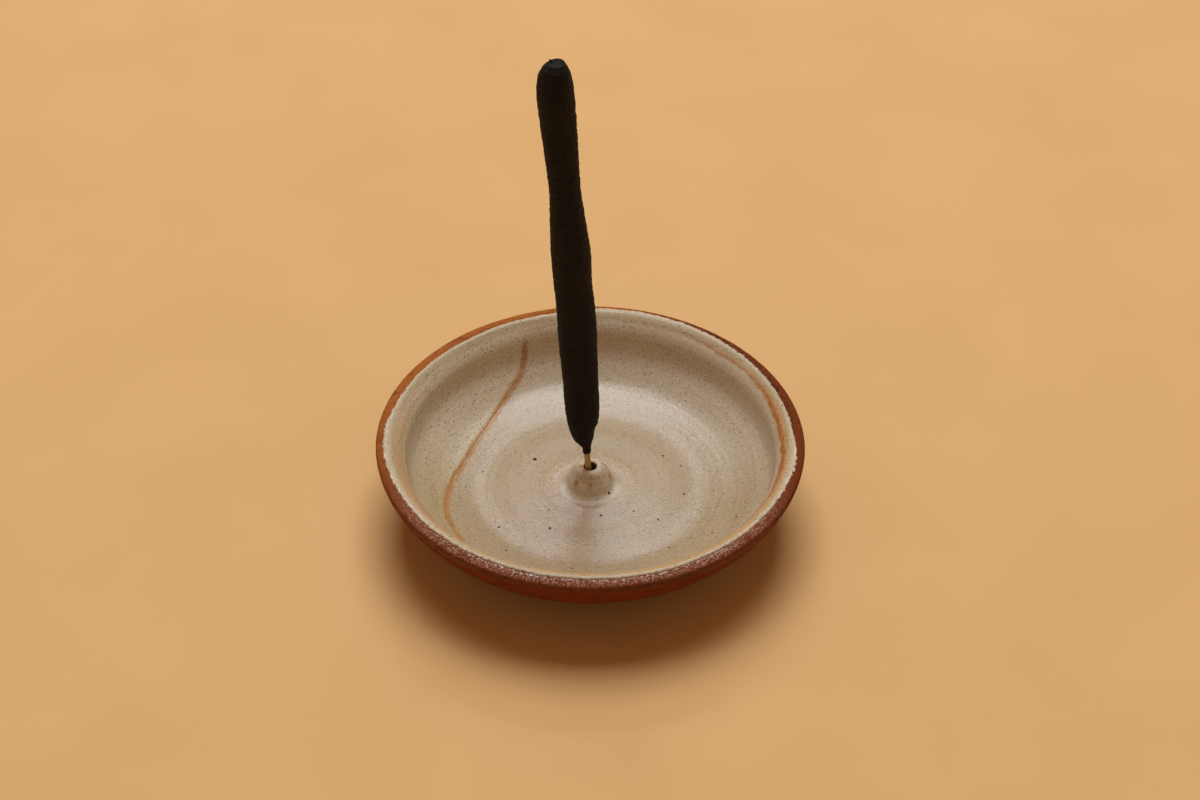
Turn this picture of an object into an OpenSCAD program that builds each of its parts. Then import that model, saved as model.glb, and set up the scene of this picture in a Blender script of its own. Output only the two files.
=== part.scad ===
// Wheel-thrown incense dish: a glazed dish with a pierced stick socket in its middle, and one rolled stick.
// Millimetres. +Z is up, the origin is the middle of the foot on the table, and -Y is the front.

/* [Dish] */
// Radius of the dish at its widest circle, just under the lip
dish_r = 62.5; // [57:0.5:70]
// Height of the widest circle above the table
belly_h = 27; // [24:0.5:32]
// Thickness of the clay at the lip
lip_t = 5.2; // [4.2:0.1:6.4]
// How far the rounded lip rises above the widest circle
lip_rise = 1.8; // [1:0.1:3]
// How full the outside curve is: 1 is a straight cone and 2 is a quarter ellipse
wall_fullness = 1.72; // [1.6:0.02:2]
// Height of the clay floor above the table, in the trough where it meets the wall
floor_h = 7.7; // [6.6:0.1:9]
// Radius of that trough
trough_r = 30; // [26:0.5:34]
// How far the floor swells from the trough up to the middle
floor_crown = 1.2; // [0:0.1:2]
// Depth of the throwing rings left by the fingers
ring_depth = 0.11; // [0:0.01:0.25]
// Distance from one throwing ring to the next on the floor
ring_pitch = 12; // [8:0.5:16]

/* [Foot] */
// Outer radius of the turned foot ring where it rests on the table
foot_r = 35; // [31:0.5:40]
// Width of the ring's resting face
foot_w = 3.6; // [2.6:0.1:5]
// Height above the table at which the wall springs from the foot
foot_h = 3.6; // [2.6:0.1:4.4]
// Depth of the hollow turned inside the ring
foot_recess = 2.6; // [1.6:0.1:3.2]
// How far the ring leans in from the table to the wall
foot_lean = 0.9; // [0.4:0.1:1.6]

/* [Stick socket] */
// Radius of the socket's dome where it leaves its skirt
socket_r = 6.4; // [5.6:0.1:7.4]
// Height of the socket above the dish's floor
socket_h = 7.36; // [6:0.02:9]
// Radius of the hollow skirt that is smoothed onto the floor
skirt_r = 2.6; // [1.6:0.1:3.2]
// How steep the dome is where it leaves its skirt, in degrees
flank_slope = 75; // [66:1:82]
// Rounding of the mouth's edge
mouth_round = 0.45; // [0.3:0.05:0.8]
// Room between an upright stick and the wall at the mouth
mouth_room = 0.92; // [0.7:0.02:1.3]
// Room between the stick and the wall at the bottom of the hole
tip_room = 0.22; // [0.15:0.01:0.4]
// Clay left between the bottom of the hole and the hollow of the foot
hole_floor_t = 3.8; // [2.4:0.1:4.4]

/* [Glaze] */
// Thickness of the liner glaze
glaze_t = 0.4; // [0.25:0.05:0.7]
// Extra thickness of the bead that gathers below the glaze's edge
bead_t = 0.25; // [0:0.05:0.5]
// Distance from the glaze's edge to the crest of the bead
bead_w = 1.3; // [0.8:0.1:2]
// Where the glaze ends on the lip: 90 is the top of the lip and 180 its inside, in degrees
glaze_edge = 97; // [80:1:130]
// Thickness of the second coat where it overlaps the liner
coat_t = 0.25; // [0.15:0.05:0.5]

/* [Incense stick] */
// Radius of the bamboo core
core_r = 0.93; // [0.75:0.01:1.2]
// Length of bare bamboo between the socket's mouth and the paste
bare_len = 4.2; // [2:0.1:12]
// Thickness of the paste over the core where it is neither swollen nor thin
paste_t = 4.2; // [2.5:0.1:5]
// Length of the paste, from its thin neck to its flattened tip
paste_len = 134.8; // [110:0.1:190]
// Paste left over the upper end of the core
tip_cover = 1.6; // [1:0.1:6]
// Height of the pinched nib on the tip
nib_h = 0.9; // [0.4:0.1:1.6]
// How far the rolled paste is out of round, as a share of its thickness
lump_share = 0.03; // [0:0.01:0.08]
// Gap between the leaning stick and the clay it leans on
touch_gap = 0.28; // [0.1:0.02:0.5]

/* [Hidden] */
$fn = 96;
overrun = 1;                                 // how far a cutting shape runs past what it cuts
curve_steps = 14;                            // steps along each curve of an outline
floor_steps = 22;                            // steps across the ringed floor
wall_rings = 3;                              // throwing rings on the inside of the wall
first_ring_r = 14;                           // radius of the innermost throwing ring
foot_edge = 0.5;                             // worn edges of the foot ring
foot_cove = 1.2;                             // hollow corner inside the foot ring
edge_w = 0.7;                                // width over which the glaze rounds off at its edges
coat_drop = 2;                               // how far the second coat stays below the lip
end_gap = 0.15;                              // gap between the stick's end and the bottom of its hole
same_point = 0.001;                          // two points of an outline closer than this are one
coat_steps = 42;                             // steps along the edge of the second coat
paste_rings = 58;                            // rings of points along the paste
paste_sides = 22;                            // points round each ring
crowding_share = 0.6;                        // how much closer the rings lie at the ends of the paste
lump_len_share = 0.4;                        // length of a lump along the paste, a share of its length
nib_shares = [-0.3, 0.2];                    // place of the nib on the tip, shares of the paste's thickness

// The edge of the second coat, from the back of the dish to its front, in shares of the dish's radius.
coat_edge_shares = [[-0.33, 0.97], [-0.334, 0.81], [-0.346, 0.728], [-0.384, 0.661], [-0.445, 0.543],
    [-0.504, 0.412], [-0.567, 0.271], [-0.609, 0.14], [-0.655, 0.009], [-0.676, -0.129], [-0.670, -0.236],
    [-0.637, -0.335], [-0.592, -0.417], [-0.56, -0.50], [-0.56, -0.85]];

// The rolled paste from its neck up: how far along it, how thick and how far off the core's axis.
// The first is a share of the paste's length and the other two are shares of its thickness.
paste_shape_shares = [[0, 0.05, 0], [0.02, 0.07, 0], [0.034, 0.17, -0.03], [0.057, 0.48, -0.17],
    [0.08, 0.64, -0.18], [0.102, 0.82, -0.1], [0.146, 0.94, -0.05], [0.212, 0.98, 0], [0.3, 1.08, 0],
    [0.352, 1.09, 0.02], [0.411, 1.04, 0.02], [0.47, 1, -0.02], [0.543, 1.05, 0.04], [0.617, 0.96, 0.03],
    [0.705, 0.81, -0.02], [0.794, 0.85, -0.08], [0.867, 0.9, -0.11], [0.934, 0.92, -0.11],
    [0.972, 0.79, -0.07], [0.99, 0.56, -0.01], [1, 0.33, 0.07]];

// Heights and radii that follow from the sizes above.
seat_r = socket_r + skirt_r * sin(flank_slope); // radius of the flat seat under the socket
seat_h = ringed_floor(seat_r);               // height of that seat
mouth_h = seat_h + socket_h;                 // height of the mouth of the hole
hole_h = foot_recess + hole_floor_t;         // height of the bottom of the hole
mouth_r = core_r + mouth_room;               // radius of the hole at its mouth
tip_r = core_r + tip_room;                   // radius of the hole at its bottom
stick_h = hole_h + end_gap;                  // height of the stick's lower end
stick_lean = atan((mouth_room - touch_gap) / (mouth_h - stick_h));
held_len = (mouth_h - stick_h) / cos(stick_lean); // length of the stick inside the hole
core_len = held_len + bare_len + paste_len - tip_cover;
wall_foot_r = foot_r - foot_lean;            // radius at which the wall springs from the foot
inner_r = dish_r - lip_t;                    // radius of the inside just under the lip

// Small helpers on lists of points.
function running_length(points) = [for (i = 0, s = 0; i < len(points);
    i = i + 1, s = s + (i < len(points) ? norm(points[i] - points[i - 1]) : 0)) s];
function reversed(list) = [for (i = [len(list) - 1:-1:0]) list[i]];
function unit(v) = v / norm(v);

function quarter_turn(v) = [-v[1], v[0]];

// Joins stretches of points into one outline, without the points that two neighbours share.
function chain(paths) = let (all = [for (path = paths) each path], n = len(all))
    [for (i = [0:n - 1]) if (norm(all[i] - all[(i + n - 1) % n]) > same_point) all[i]];

// Moves each point of a path sideways, to the left of its run, by the distance of the same number.
function beside(points, distances) = [for (i = [0:len(points) - 1])
    let (before = points[max(i - 1, 0)], after = points[min(i + 1, len(points) - 1)])
        points[i] + distances[i] * quarter_turn(unit(after - before))];

// A smooth curve through the rows of a table, read at a value of its first column.
function row_before(table, at, i = 0) =
    i >= len(table) - 2 || at < table[i + 1][0] ? i : row_before(table, at, i + 1);
function steepness(table, column, i) =
    let (a = max(i - 1, 0), b = min(i + 1, len(table) - 1))
        (table[b][column] - table[a][column]) / (table[b][0] - table[a][0]);
function smooth_lookup(table, column, at) =
    let (i = row_before(table, at), run = table[i + 1][0] - table[i][0], u = (at - table[i][0]) / run)
        (1 + 2 * u) * pow(1 - u, 2) * table[i][column] + u * u * (3 - 2 * u) * table[i + 1][column]
        + run * u * pow(1 - u, 2) * steepness(table, column, i)
        + run * u * u * (u - 1) * steepness(table, column, i + 1);

// Height of the clay floor at a radius: a low swell, less the rings left by the fingers.
function ringed_floor(r) = floor_h + floor_crown * (1 - pow(r / trough_r, 2))
    - ring_depth * sin(360 * (r - first_ring_r) / ring_pitch);

// The outside of the wall, from the foot up to the widest circle.
outer_wall = [for (i = [0:curve_steps]) let (a = 90 * i / curve_steps, power = 2 / wall_fullness)
    [wall_foot_r + (dish_r - wall_foot_r) * pow(sin(a), power),
     belly_h - (belly_h - foot_h) * pow(cos(a), power)]];

// A stretch of the rounded lip between two angles: 0 is the widest circle and 90 the top.
function lip(from, to) = [for (i = [0:curve_steps]) let (a = from + (to - from) * i / curve_steps)
    [dish_r - lip_t / 2 + lip_t / 2 * cos(a), belly_h + lip_rise * sin(a)]];

// The inside of the wall, from the lip down to the trough, with its throwing rings.
wall_steps = 2 * curve_steps;
inner_wall = let (drop = belly_h - ringed_floor(trough_r), smooth = [for (i = [0:wall_steps])
        let (a = 90 * i / wall_steps) [trough_r + (inner_r - trough_r) * cos(a), belly_h - drop * sin(a)]])
    beside(smooth, [for (i = [0:wall_steps]) -ring_depth * sin(360 * wall_rings * i / wall_steps)]);

// The floor, from the trough in to the seat of the socket.
inner_floor = [for (i = [0:floor_steps]) let (r = trough_r + (seat_r - trough_r) * i / floor_steps)
    [r, ringed_floor(r)]];

// The socket's outside: its skirt, its dome, which steepens from a level mouth, and the mouth's rounded edge.
socket_skirt = [for (i = [0:curve_steps]) let (a = flank_slope * i / curve_steps)
    [seat_r - skirt_r * sin(a), seat_h + skirt_r * (1 - cos(a))]];
socket_dome = let (run = socket_r - mouth_r - mouth_round,
        rise = socket_h - skirt_r * (1 - cos(flank_slope)), power = tan(flank_slope) * run / rise)
    [for (i = [0:curve_steps]) let (u = cos(90 * i / curve_steps))
        [socket_r - run * (1 - u), mouth_h - rise * pow(u, power)]];
socket_mouth = [for (i = [0:curve_steps / 2]) let (a = 180 * i / curve_steps)
    [mouth_r + mouth_round * (1 - sin(a)), mouth_h - mouth_round * (1 - cos(a))]];

// Radius of the poked hole at a height: it narrows evenly from the mouth to its bottom.
function hole_r(h) = tip_r + (mouth_r - tip_r) * (h - hole_h) / (mouth_h - mouth_round - hole_h);

// The turned foot, from the hollow out round the ring and up to where the wall springs.
hollow_r = foot_r - foot_w;
foot_ring = concat(
    [for (i = [0:curve_steps]) let (a = 90 * i / curve_steps)
        [hollow_r - foot_cove + foot_cove * sin(a), foot_recess - foot_cove * (1 - cos(a))]],
    [[hollow_r, foot_edge], [hollow_r + foot_edge, 0], [foot_r - foot_edge, 0], [foot_r, foot_edge]]);

// The clay that the liner glaze covers, from the glaze's edge on the lip in and up to the socket's mouth.
glazed_clay = chain([lip(glaze_edge, 180), inner_wall, inner_floor, socket_skirt, socket_dome]);
glazed_len = running_length(glazed_clay);

// How much of its thickness a glaze has at a distance from its edge: it rounds off there.
function rounded(from_edge) = sqrt(1 - pow(1 - min(from_edge / edge_w, 1), 2));

// Thickness of the liner at each point of the clay, with the bead below its edge on the lip.
liner_depths = let (total = glazed_len[len(glazed_len) - 1]) [for (s = glazed_len)
    glaze_t * rounded(s) * rounded(total - s) + bead_t * rounded(s) * exp(-pow(s / bead_w - 1, 2))];
liner_face = beside(glazed_clay, -liner_depths);

// The wall of the liner that the second coat can reach, and the coat's thickness on it.
coated_face = [for (i = [0:len(liner_face) - 1])
    if (glazed_len[i] > bead_w + coat_drop && liner_face[i][0] > trough_r) liner_face[i]];
coated_len = running_length(coated_face);
coat_depths = let (total = coated_len[len(coated_len) - 1])
    [for (s = coated_len) coat_t * rounded(s) * rounded(total - s)];

// The plan of the second coat: everything to the left of its edge.
coat_plan = let (rows = [for (i = [0:len(coat_edge_shares) - 1]) concat(i, dish_r * coat_edge_shares[i])],
        edge = [for (i = [0:coat_steps]) let (at = (len(rows) - 1) * i / coat_steps)
            [smooth_lookup(rows, 1, at), smooth_lookup(rows, 2, at)]])
    concat(edge, [[-dish_r - overrun, edge[coat_steps][1]], [-dish_r - overrun, edge[0][1]]]);

// A point on the paste: how far along it, as a share, and how far round it, in degrees.
function lump(along, turn) = let (twist = 360 * along / lump_len_share)
    lump_share * (sin(2 * turn + twist) + cos(3 * turn - twist));
function paste_point(along, turn) =
    let (thickness = paste_t * smooth_lookup(paste_shape_shares, 1, along) * (1 + lump(along, turn)),
         sideways = paste_t * smooth_lookup(paste_shape_shares, 2, along), radius = core_r + thickness)
        [sideways + radius * cos(turn), radius * sin(turn), paste_len * along];

// How far along the paste a ring lies: the rings crowd towards both ends.
function ring_place(i) = let (u = i / paste_rings) u - crowding_share * sin(360 * u) / (2 * PI);

// The thrown and turned clay dish, with the lower part of the poked hole in its floor.
module dish() {
    color("chocolate")
    rotate_extrude()
    polygon(chain([
        [[0, hole_h], [0, foot_recess]], foot_ring, outer_wall, lip(0, glaze_edge), lip(glaze_edge, 180),
        inner_wall, inner_floor, [[hole_r(seat_h), seat_h], [tip_r, hole_h]]]));
}

// The pellet of clay that is luted to the middle of the floor and pierced for the stick.
module stick_socket() {
    color("peru")
    rotate_extrude()
    polygon(chain([[[hole_r(seat_h), seat_h]], socket_skirt, socket_dome, socket_mouth]));
}

// The glaze poured over the inside, fused to the clay.
module liner_glaze() {
    color("antiquewhite")
    rotate_extrude()
    polygon(chain([glazed_clay, reversed(liner_face)]));
}

// The second coat, where the dish was dipped again on its left.
module overlap_glaze() {
    color("darkkhaki")
    intersection() {
        rotate_extrude() polygon(chain([coated_face, reversed(beside(coated_face, -coat_depths))]));
        linear_extrude(height = belly_h + lip_rise) polygon(coat_plan);
    }
}

// Stands its children in the hole, leaning against the left of the mouth.
module in_the_hole() {
    translate([0, 0, stick_h]) rotate([0, -stick_lean, 0]) children();
}

// The sawn bamboo core of the stick.
module bamboo_core() {
    color("burlywood") in_the_hole() cylinder(h = core_len, r = core_r);
}

// The charcoal paste rolled onto the core.
module incense_paste() {
    rings = [for (i = [0:paste_rings], j = [0:paste_sides - 1])
        paste_point(ring_place(i), 360 * j / paste_sides)];
    nib = [paste_t * nib_shares[0], paste_t * nib_shares[1], paste_len + nib_h];
    last = paste_rings * paste_sides;
    color("dimgray") in_the_hole() difference() {
        translate([0, 0, held_len + bare_len]) polyhedron(
            points = concat(rings, [nib]),
            faces = concat(
                [[for (j = [0:paste_sides - 1]) j]],
                [for (i = [0:paste_rings - 1], j = [0:paste_sides - 1], half = [0, 1])
                    let (a = i * paste_sides, b = a + paste_sides, next = (j + 1) % paste_sides)
                        half == 0 ? [a + j, b + j, a + next] : [a + next, b + j, b + next]],
                [for (j = [0:paste_sides - 1])
                    [last + j, last + paste_sides, last + (j + 1) % paste_sides]]));
        cylinder(h = core_len, r = core_r);
    }
}

dish();
stick_socket();
liner_glaze();
overlap_glaze();
bamboo_core();
incense_paste();
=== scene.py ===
"""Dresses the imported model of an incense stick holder: a dish, its socket, two glazes and a stick.

Lengths are in millimetres on the dish's own section until a mesh is finished, when they become
metres. Directions round the dish are in degrees: 0 is the right, 90 the back, 180 the left and 270
the front.
"""

import bisect
import logging
import math
from dataclasses import dataclass, field
from enum import Enum
from functools import reduce
from typing import Any, Callable, NamedTuple

import bmesh
import bpy
from mathutils import Matrix, Vector, noise
from mathutils.kdtree import KDTree


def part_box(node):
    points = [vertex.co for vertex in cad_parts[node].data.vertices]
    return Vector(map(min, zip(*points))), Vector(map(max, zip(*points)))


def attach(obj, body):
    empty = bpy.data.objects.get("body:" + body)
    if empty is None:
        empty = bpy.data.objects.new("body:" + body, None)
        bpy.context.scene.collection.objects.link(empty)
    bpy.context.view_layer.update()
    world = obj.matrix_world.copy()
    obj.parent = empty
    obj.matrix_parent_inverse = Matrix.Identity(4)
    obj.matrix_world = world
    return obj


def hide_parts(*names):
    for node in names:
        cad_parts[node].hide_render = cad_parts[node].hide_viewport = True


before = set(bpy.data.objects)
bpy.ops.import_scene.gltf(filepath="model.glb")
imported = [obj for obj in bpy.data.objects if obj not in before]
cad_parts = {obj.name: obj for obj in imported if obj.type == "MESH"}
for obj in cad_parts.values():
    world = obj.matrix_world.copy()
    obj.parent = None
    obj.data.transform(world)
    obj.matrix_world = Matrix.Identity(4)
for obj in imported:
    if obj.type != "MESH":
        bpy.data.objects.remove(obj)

LOG = logging.getLogger("incense_stick_holder")
MM = 0.001
SAME_POINT = 1e-4
SPIN_CUTS = 3

Point = tuple[float, float]
Colour = tuple[float, float, float]
Table = tuple[tuple[float, ...], ...]


class Body(Enum):
    """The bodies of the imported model."""

    DISH = "dish"
    STICK = "incense_stick"


class Side(Enum):
    """What a point of a spun piece belongs to: WORKED is turned clay or the outer face of the glaze."""

    PLAIN = 0
    WORKED = 1
    LIP = 2


def shade(red: int, green: int, blue: int) -> Colour:
    """Turns a colour as a screen shows it, 0 to 255, into linear light."""
    def linear(part: int) -> float:
        """Turns one part of the colour into linear light."""
        share = part / 255
        return share / 12.92 if share <= 0.04045 else ((share + 0.055) / 1.055) ** 2.4

    return linear(red), linear(green), linear(blue)


class Curve:
    """A smooth curve through the rows of a table."""

    def __init__(self, table: Table, column: int = 1, turning: bool = False) -> None:
        """Works out the curve's slopes.

        Args:
            table: Rows with a rising first column.
            column: The column that the curve goes through.
            turning: Whether the last row repeats the first one a full turn on.
        """
        self.keys = [row[0] for row in table]
        self.values = [row[column] for row in table]
        last = len(table) - 1
        self.slopes = [(self.values[min(k + 1, last)] - self.values[max(k - 1, 0)])
                       / (self.keys[min(k + 1, last)] - self.keys[max(k - 1, 0)]) for k in range(last + 1)]
        if turning:
            both = (self.values[1] - self.values[0] + self.values[last] - self.values[last - 1]) / (
                self.keys[1] - self.keys[0] + self.keys[last] - self.keys[last - 1])
            self.slopes[0] = self.slopes[last] = both

    def at(self, key: float) -> float:
        """Reads the curve at a value of the first column, held at its ends."""
        key = min(max(key, self.keys[0]), self.keys[-1])
        i = min(bisect.bisect_right(self.keys, key) - 1, len(self.keys) - 2)
        run = self.keys[i + 1] - self.keys[i]
        u = (key - self.keys[i]) / run
        return ((1 + 2 * u) * (1 - u) ** 2 * self.values[i] + u * u * (3 - 2 * u) * self.values[i + 1]
                + run * u * (1 - u) ** 2 * self.slopes[i] + run * u * u * (u - 1) * self.slopes[i + 1])


class Round:
    """A value that changes round the dish, kept at even steps and read by direction."""

    def __init__(self, value: Callable[[float], float], steps: int = 1536) -> None:
        """Works the value out at each step.

        Args:
            value: Gives the value at a direction in degrees, from 0 to 360.
            steps: How many steps a full turn has.
        """
        self.kept = [value(360 * i / steps) for i in range(steps)]

    @classmethod
    def through(cls, table: Table, column: int) -> "Round":
        """Reads a table by direction, where the last row repeats the first one a full turn on."""
        curve, first = Curve(table, column, turning=True), table[0][0]
        return cls(lambda degrees: curve.at(first + (degrees - first) % 360))

    def at(self, turn: float) -> float:
        """The value at a direction in radians."""
        place = turn / math.tau % 1 * len(self.kept)
        i = int(place) % len(self.kept)
        after = self.kept[(i + 1) % len(self.kept)]
        return self.kept[i] + (after - self.kept[i]) * (place - int(place))


def fade(distance: float, reach: float) -> float:
    """Falls smoothly from 1 at no distance to 0 at the reach."""
    u = min(max(distance / reach, 0.0), 1.0)
    return 1 - u * u * (3 - 2 * u)


def crowded(share: float, strength: float) -> float:
    """Moves an even share, from 0 to 1, so that steps crowd at both ends."""
    return share - strength * math.sin(math.tau * share) / math.tau


class Run:
    """A run of points of the section, each a radius and a height, that is read by its length."""

    def __init__(self, points: list[Point]) -> None:
        """Measures the run, without points that two stretches share.

        Args:
            points: The points in order.
        """
        self.points = [points[0]]
        self.lengths = [0.0]
        for point in points[1:]:
            step = math.dist(point, self.points[-1])
            if step > SAME_POINT:
                self.points.append(point)
                self.lengths.append(self.lengths[-1] + step)

    @property
    def length(self) -> float:
        """Length of the whole run."""
        return self.lengths[-1]

    def at(self, distance: float) -> Vector:
        """Finds the point at a distance from the start."""
        i = min(max(bisect.bisect_right(self.lengths, distance) - 1, 0), len(self.points) - 2)
        u = (distance - self.lengths[i]) / (self.lengths[i + 1] - self.lengths[i])
        return Vector(self.points[i]).lerp(Vector(self.points[i + 1]), u)

    def normal(self, distance: float, half_step: float = 0.06) -> Vector:
        """Finds the direction to the right of the run at a distance from its start."""
        ahead = self.at(min(distance + half_step, self.length)) - self.at(max(distance - half_step, 0))
        return Vector((ahead.y, -ahead.x)).normalized()

    def distance_of(self, point: Point) -> float:
        """Finds how far along the run its point nearest to another one lies."""
        return self.lengths[min(range(len(self.points)), key=lambda i: math.dist(self.points[i], point))]


@dataclass(frozen=True)
class DishSection:
    """The sizes and curves of the dish's section, close to those of the part's own source.

    The inside of the lip slopes in more gently here than in the source, by up to 2.6 mm, the outside
    of the wall is less full by up to 0.8 mm, and the rim is pressed in by up to 0.75 mm.
    """

    dish_r: float = 62.5
    belly_h: float = 27.0
    lip_t: float = 5.2
    lip_rise: float = 1.8
    lip_flare: float = 5.5
    lip_fall: float = 6.5
    flare_fullness: float = 1.67
    wall_fullness: float = 1.59
    floor_h: float = 7.7
    trough_r: float = 30.0
    floor_crown: float = 1.2
    ring_depth: float = 0.11
    ring_pitch: float = 12.0
    first_ring_r: float = 14.0
    wall_rings: int = 3
    foot_r: float = 35.0
    foot_w: float = 3.6
    foot_h: float = 3.6
    foot_recess: float = 2.6
    foot_lean: float = 0.9
    foot_edge: float = 0.5
    foot_cove: float = 1.2
    socket_r: float = 6.4
    socket_h: float = 7.36
    skirt_r: float = 2.6
    flank_slope: float = 75.0
    mouth_round: float = 0.45
    mouth_r: float = 1.85
    hole_tip_r: float = 1.15
    hole_floor_t: float = 3.8
    pressed_from_h: float = 12.0
    curve_steps: int = 90
    # By direction: how far the rim of the real dish lies inside a true circle
    pressed_places: Table = (
        (-20, 0.0), (0, 0.04), (12, 0.20), (25, 0.32), (40, 0.42), (60, 0.42), (85, 0.34), (100, 0.52),
        (112, 0.74), (125, 0.72), (140, 0.70), (152, 0.48), (165, 0.26), (180, 0.04), (200, 0.0),
        (340, 0.0))

    @property
    def wall_foot_r(self) -> float:
        """Radius at which the wall springs from the foot."""
        return self.foot_r - self.foot_lean

    @property
    def crest(self) -> Point:
        """The highest circle of the lip."""
        return self.dish_r - self.lip_t / 2, self.belly_h + self.lip_rise

    @property
    def wall_top(self) -> Point:
        """Where the lip's flare ends and the inside of the wall begins."""
        return self.crest[0] - self.lip_flare, self.crest[1] - self.lip_fall

    @property
    def seat_r(self) -> float:
        """Radius of the seat under the socket."""
        return self.socket_r + self.skirt_r * math.sin(math.radians(self.flank_slope))

    @property
    def seat_h(self) -> float:
        """Height of the seat under the socket."""
        return self.floor_height(self.seat_r)

    @property
    def mouth_h(self) -> float:
        """Height of the mouth of the hole."""
        return self.seat_h + self.socket_h

    @property
    def hole_h(self) -> float:
        """Height of the bottom of the hole."""
        return self.foot_recess + self.hole_floor_t

    def floor_height(self, radius: float) -> float:
        """Height of the clay floor: a low swell, less the rings left by the fingers."""
        swell = self.floor_crown * (1 - (radius / self.trough_r) ** 2)
        return self.floor_h + swell - self.ring_depth * math.sin(
            math.tau * (radius - self.first_ring_r) / self.ring_pitch)

    def arc(self, start: float, end: float, place: Callable[[float], Point]) -> list[Point]:
        """Steps along a curve.

        Args:
            start: The first angle, in degrees.
            end: The last angle, in degrees.
            place: Gives the point at an angle in radians.

        Returns:
            The points, both ends included.
        """
        return [place(math.radians(start + (end - start) * i / self.curve_steps))
                for i in range(self.curve_steps + 1)]

    def outer_wall(self) -> list[Point]:
        """The outside of the wall, from the foot up to the widest circle."""
        power = 2 / self.wall_fullness
        spread, rise = self.dish_r - self.wall_foot_r, self.belly_h - self.foot_h
        return self.arc(0, 90, lambda a: (
            self.wall_foot_r + spread * math.sin(a) ** power,
            self.belly_h - rise * max(math.cos(a), 0) ** power))

    def lip(self, start: float) -> list[Point]:
        """The outside of the rounded lip, from an angle (0 at the widest circle) to its crest at 90."""
        half = self.lip_t / 2
        return self.arc(start, 90, lambda a: (
            self.dish_r - half + half * math.cos(a), self.belly_h + self.lip_rise * math.sin(a)))

    def flare(self) -> list[Point]:
        """The inside of the lip, from its crest down to the wall."""
        power = 2 / self.flare_fullness
        return self.arc(0, 90, lambda a: (
            self.crest[0] - self.lip_flare * math.sin(a) ** power,
            self.wall_top[1] + self.lip_fall * max(math.cos(a), 0) ** power))

    def inner_wall(self) -> list[Point]:
        """The inside of the wall, from the flare down to the trough, with its throwing rings."""
        top_r, top_h = self.wall_top
        drop = top_h - self.floor_height(self.trough_r)
        smooth = Run(self.arc(0, 90, lambda a: (
            self.trough_r + (top_r - self.trough_r) * math.cos(a), top_h - drop * math.sin(a))))
        steps = len(smooth.points) - 1
        rings = [self.ring_depth * math.sin(math.tau * self.wall_rings * i / steps)
                 for i in range(steps + 1)]
        return [tuple(Vector(point) + smooth.normal(along) * ring)
                for point, along, ring in zip(smooth.points, smooth.lengths, rings)]

    def inner_floor(self) -> list[Point]:
        """The floor, from the trough in to the seat of the socket."""
        radii = [self.trough_r + (self.seat_r - self.trough_r) * i / self.curve_steps
                 for i in range(self.curve_steps + 1)]
        return [(radius, self.floor_height(radius)) for radius in radii]

    def socket(self) -> list[Point]:
        """The socket's skirt and dome, from the floor up to the rounded edge of its mouth."""
        flank = math.radians(self.flank_slope)
        run = self.socket_r - self.mouth_r - self.mouth_round
        rise = self.socket_h - self.skirt_r * (1 - math.cos(flank))
        power = math.tan(flank) * run / rise
        skirt = self.arc(0, self.flank_slope, lambda a: (
            self.seat_r - self.skirt_r * math.sin(a), self.seat_h + self.skirt_r * (1 - math.cos(a))))
        dome = self.arc(0, 90, lambda a: (
            self.socket_r - run * (1 - math.cos(a)), self.mouth_h - rise * max(math.cos(a), 0) ** power))
        return skirt + dome

    def mouth_edge(self) -> list[Point]:
        """The rounded edge of the hole's mouth, from the dome in to the hole."""
        return self.arc(0, 90, lambda a: (
            self.mouth_r + self.mouth_round * (1 - math.sin(a)),
            self.mouth_h - self.mouth_round * (1 - math.cos(a))))

    def hole_radius(self, height: float) -> float:
        """Radius of the poked hole at a height: it narrows evenly to its bottom."""
        share = (height - self.hole_h) / (self.mouth_h - self.mouth_round - self.hole_h)
        return self.hole_tip_r + (self.mouth_r - self.hole_tip_r) * share

    def foot_ring(self) -> list[Point]:
        """The turned foot, from the hollow out round the ring."""
        hollow = self.foot_r - self.foot_w
        cove = self.arc(0, 90, lambda a: (
            hollow - self.foot_cove * (1 - math.sin(a)),
            self.foot_recess - self.foot_cove * (1 - math.cos(a))))
        inside = self.arc(0, 90, lambda a: (
            hollow + self.foot_edge * (1 - math.cos(a)), self.foot_edge * (1 - math.sin(a))))
        outside = self.arc(0, 90, lambda a: (
            self.foot_r - self.foot_edge * (1 - math.sin(a)), self.foot_edge * (1 - math.cos(a))))
        return cove + inside + outside


class Row(NamedTuple):
    """One point of a profile to be spun: its place, its reach along the run and what it belongs to."""

    radius: float
    height: float
    reach: float = 0.0
    side: Side = Side.PLAIN


def without_doubles(rows: list[Row]) -> list[Row]:
    """Leaves out the rows of a profile that lie on the row before them."""
    return rows[:1] + [row for before, row in zip(rows, rows[1:])
                       if math.dist(row[:2], before[:2]) > SAME_POINT]


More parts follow.
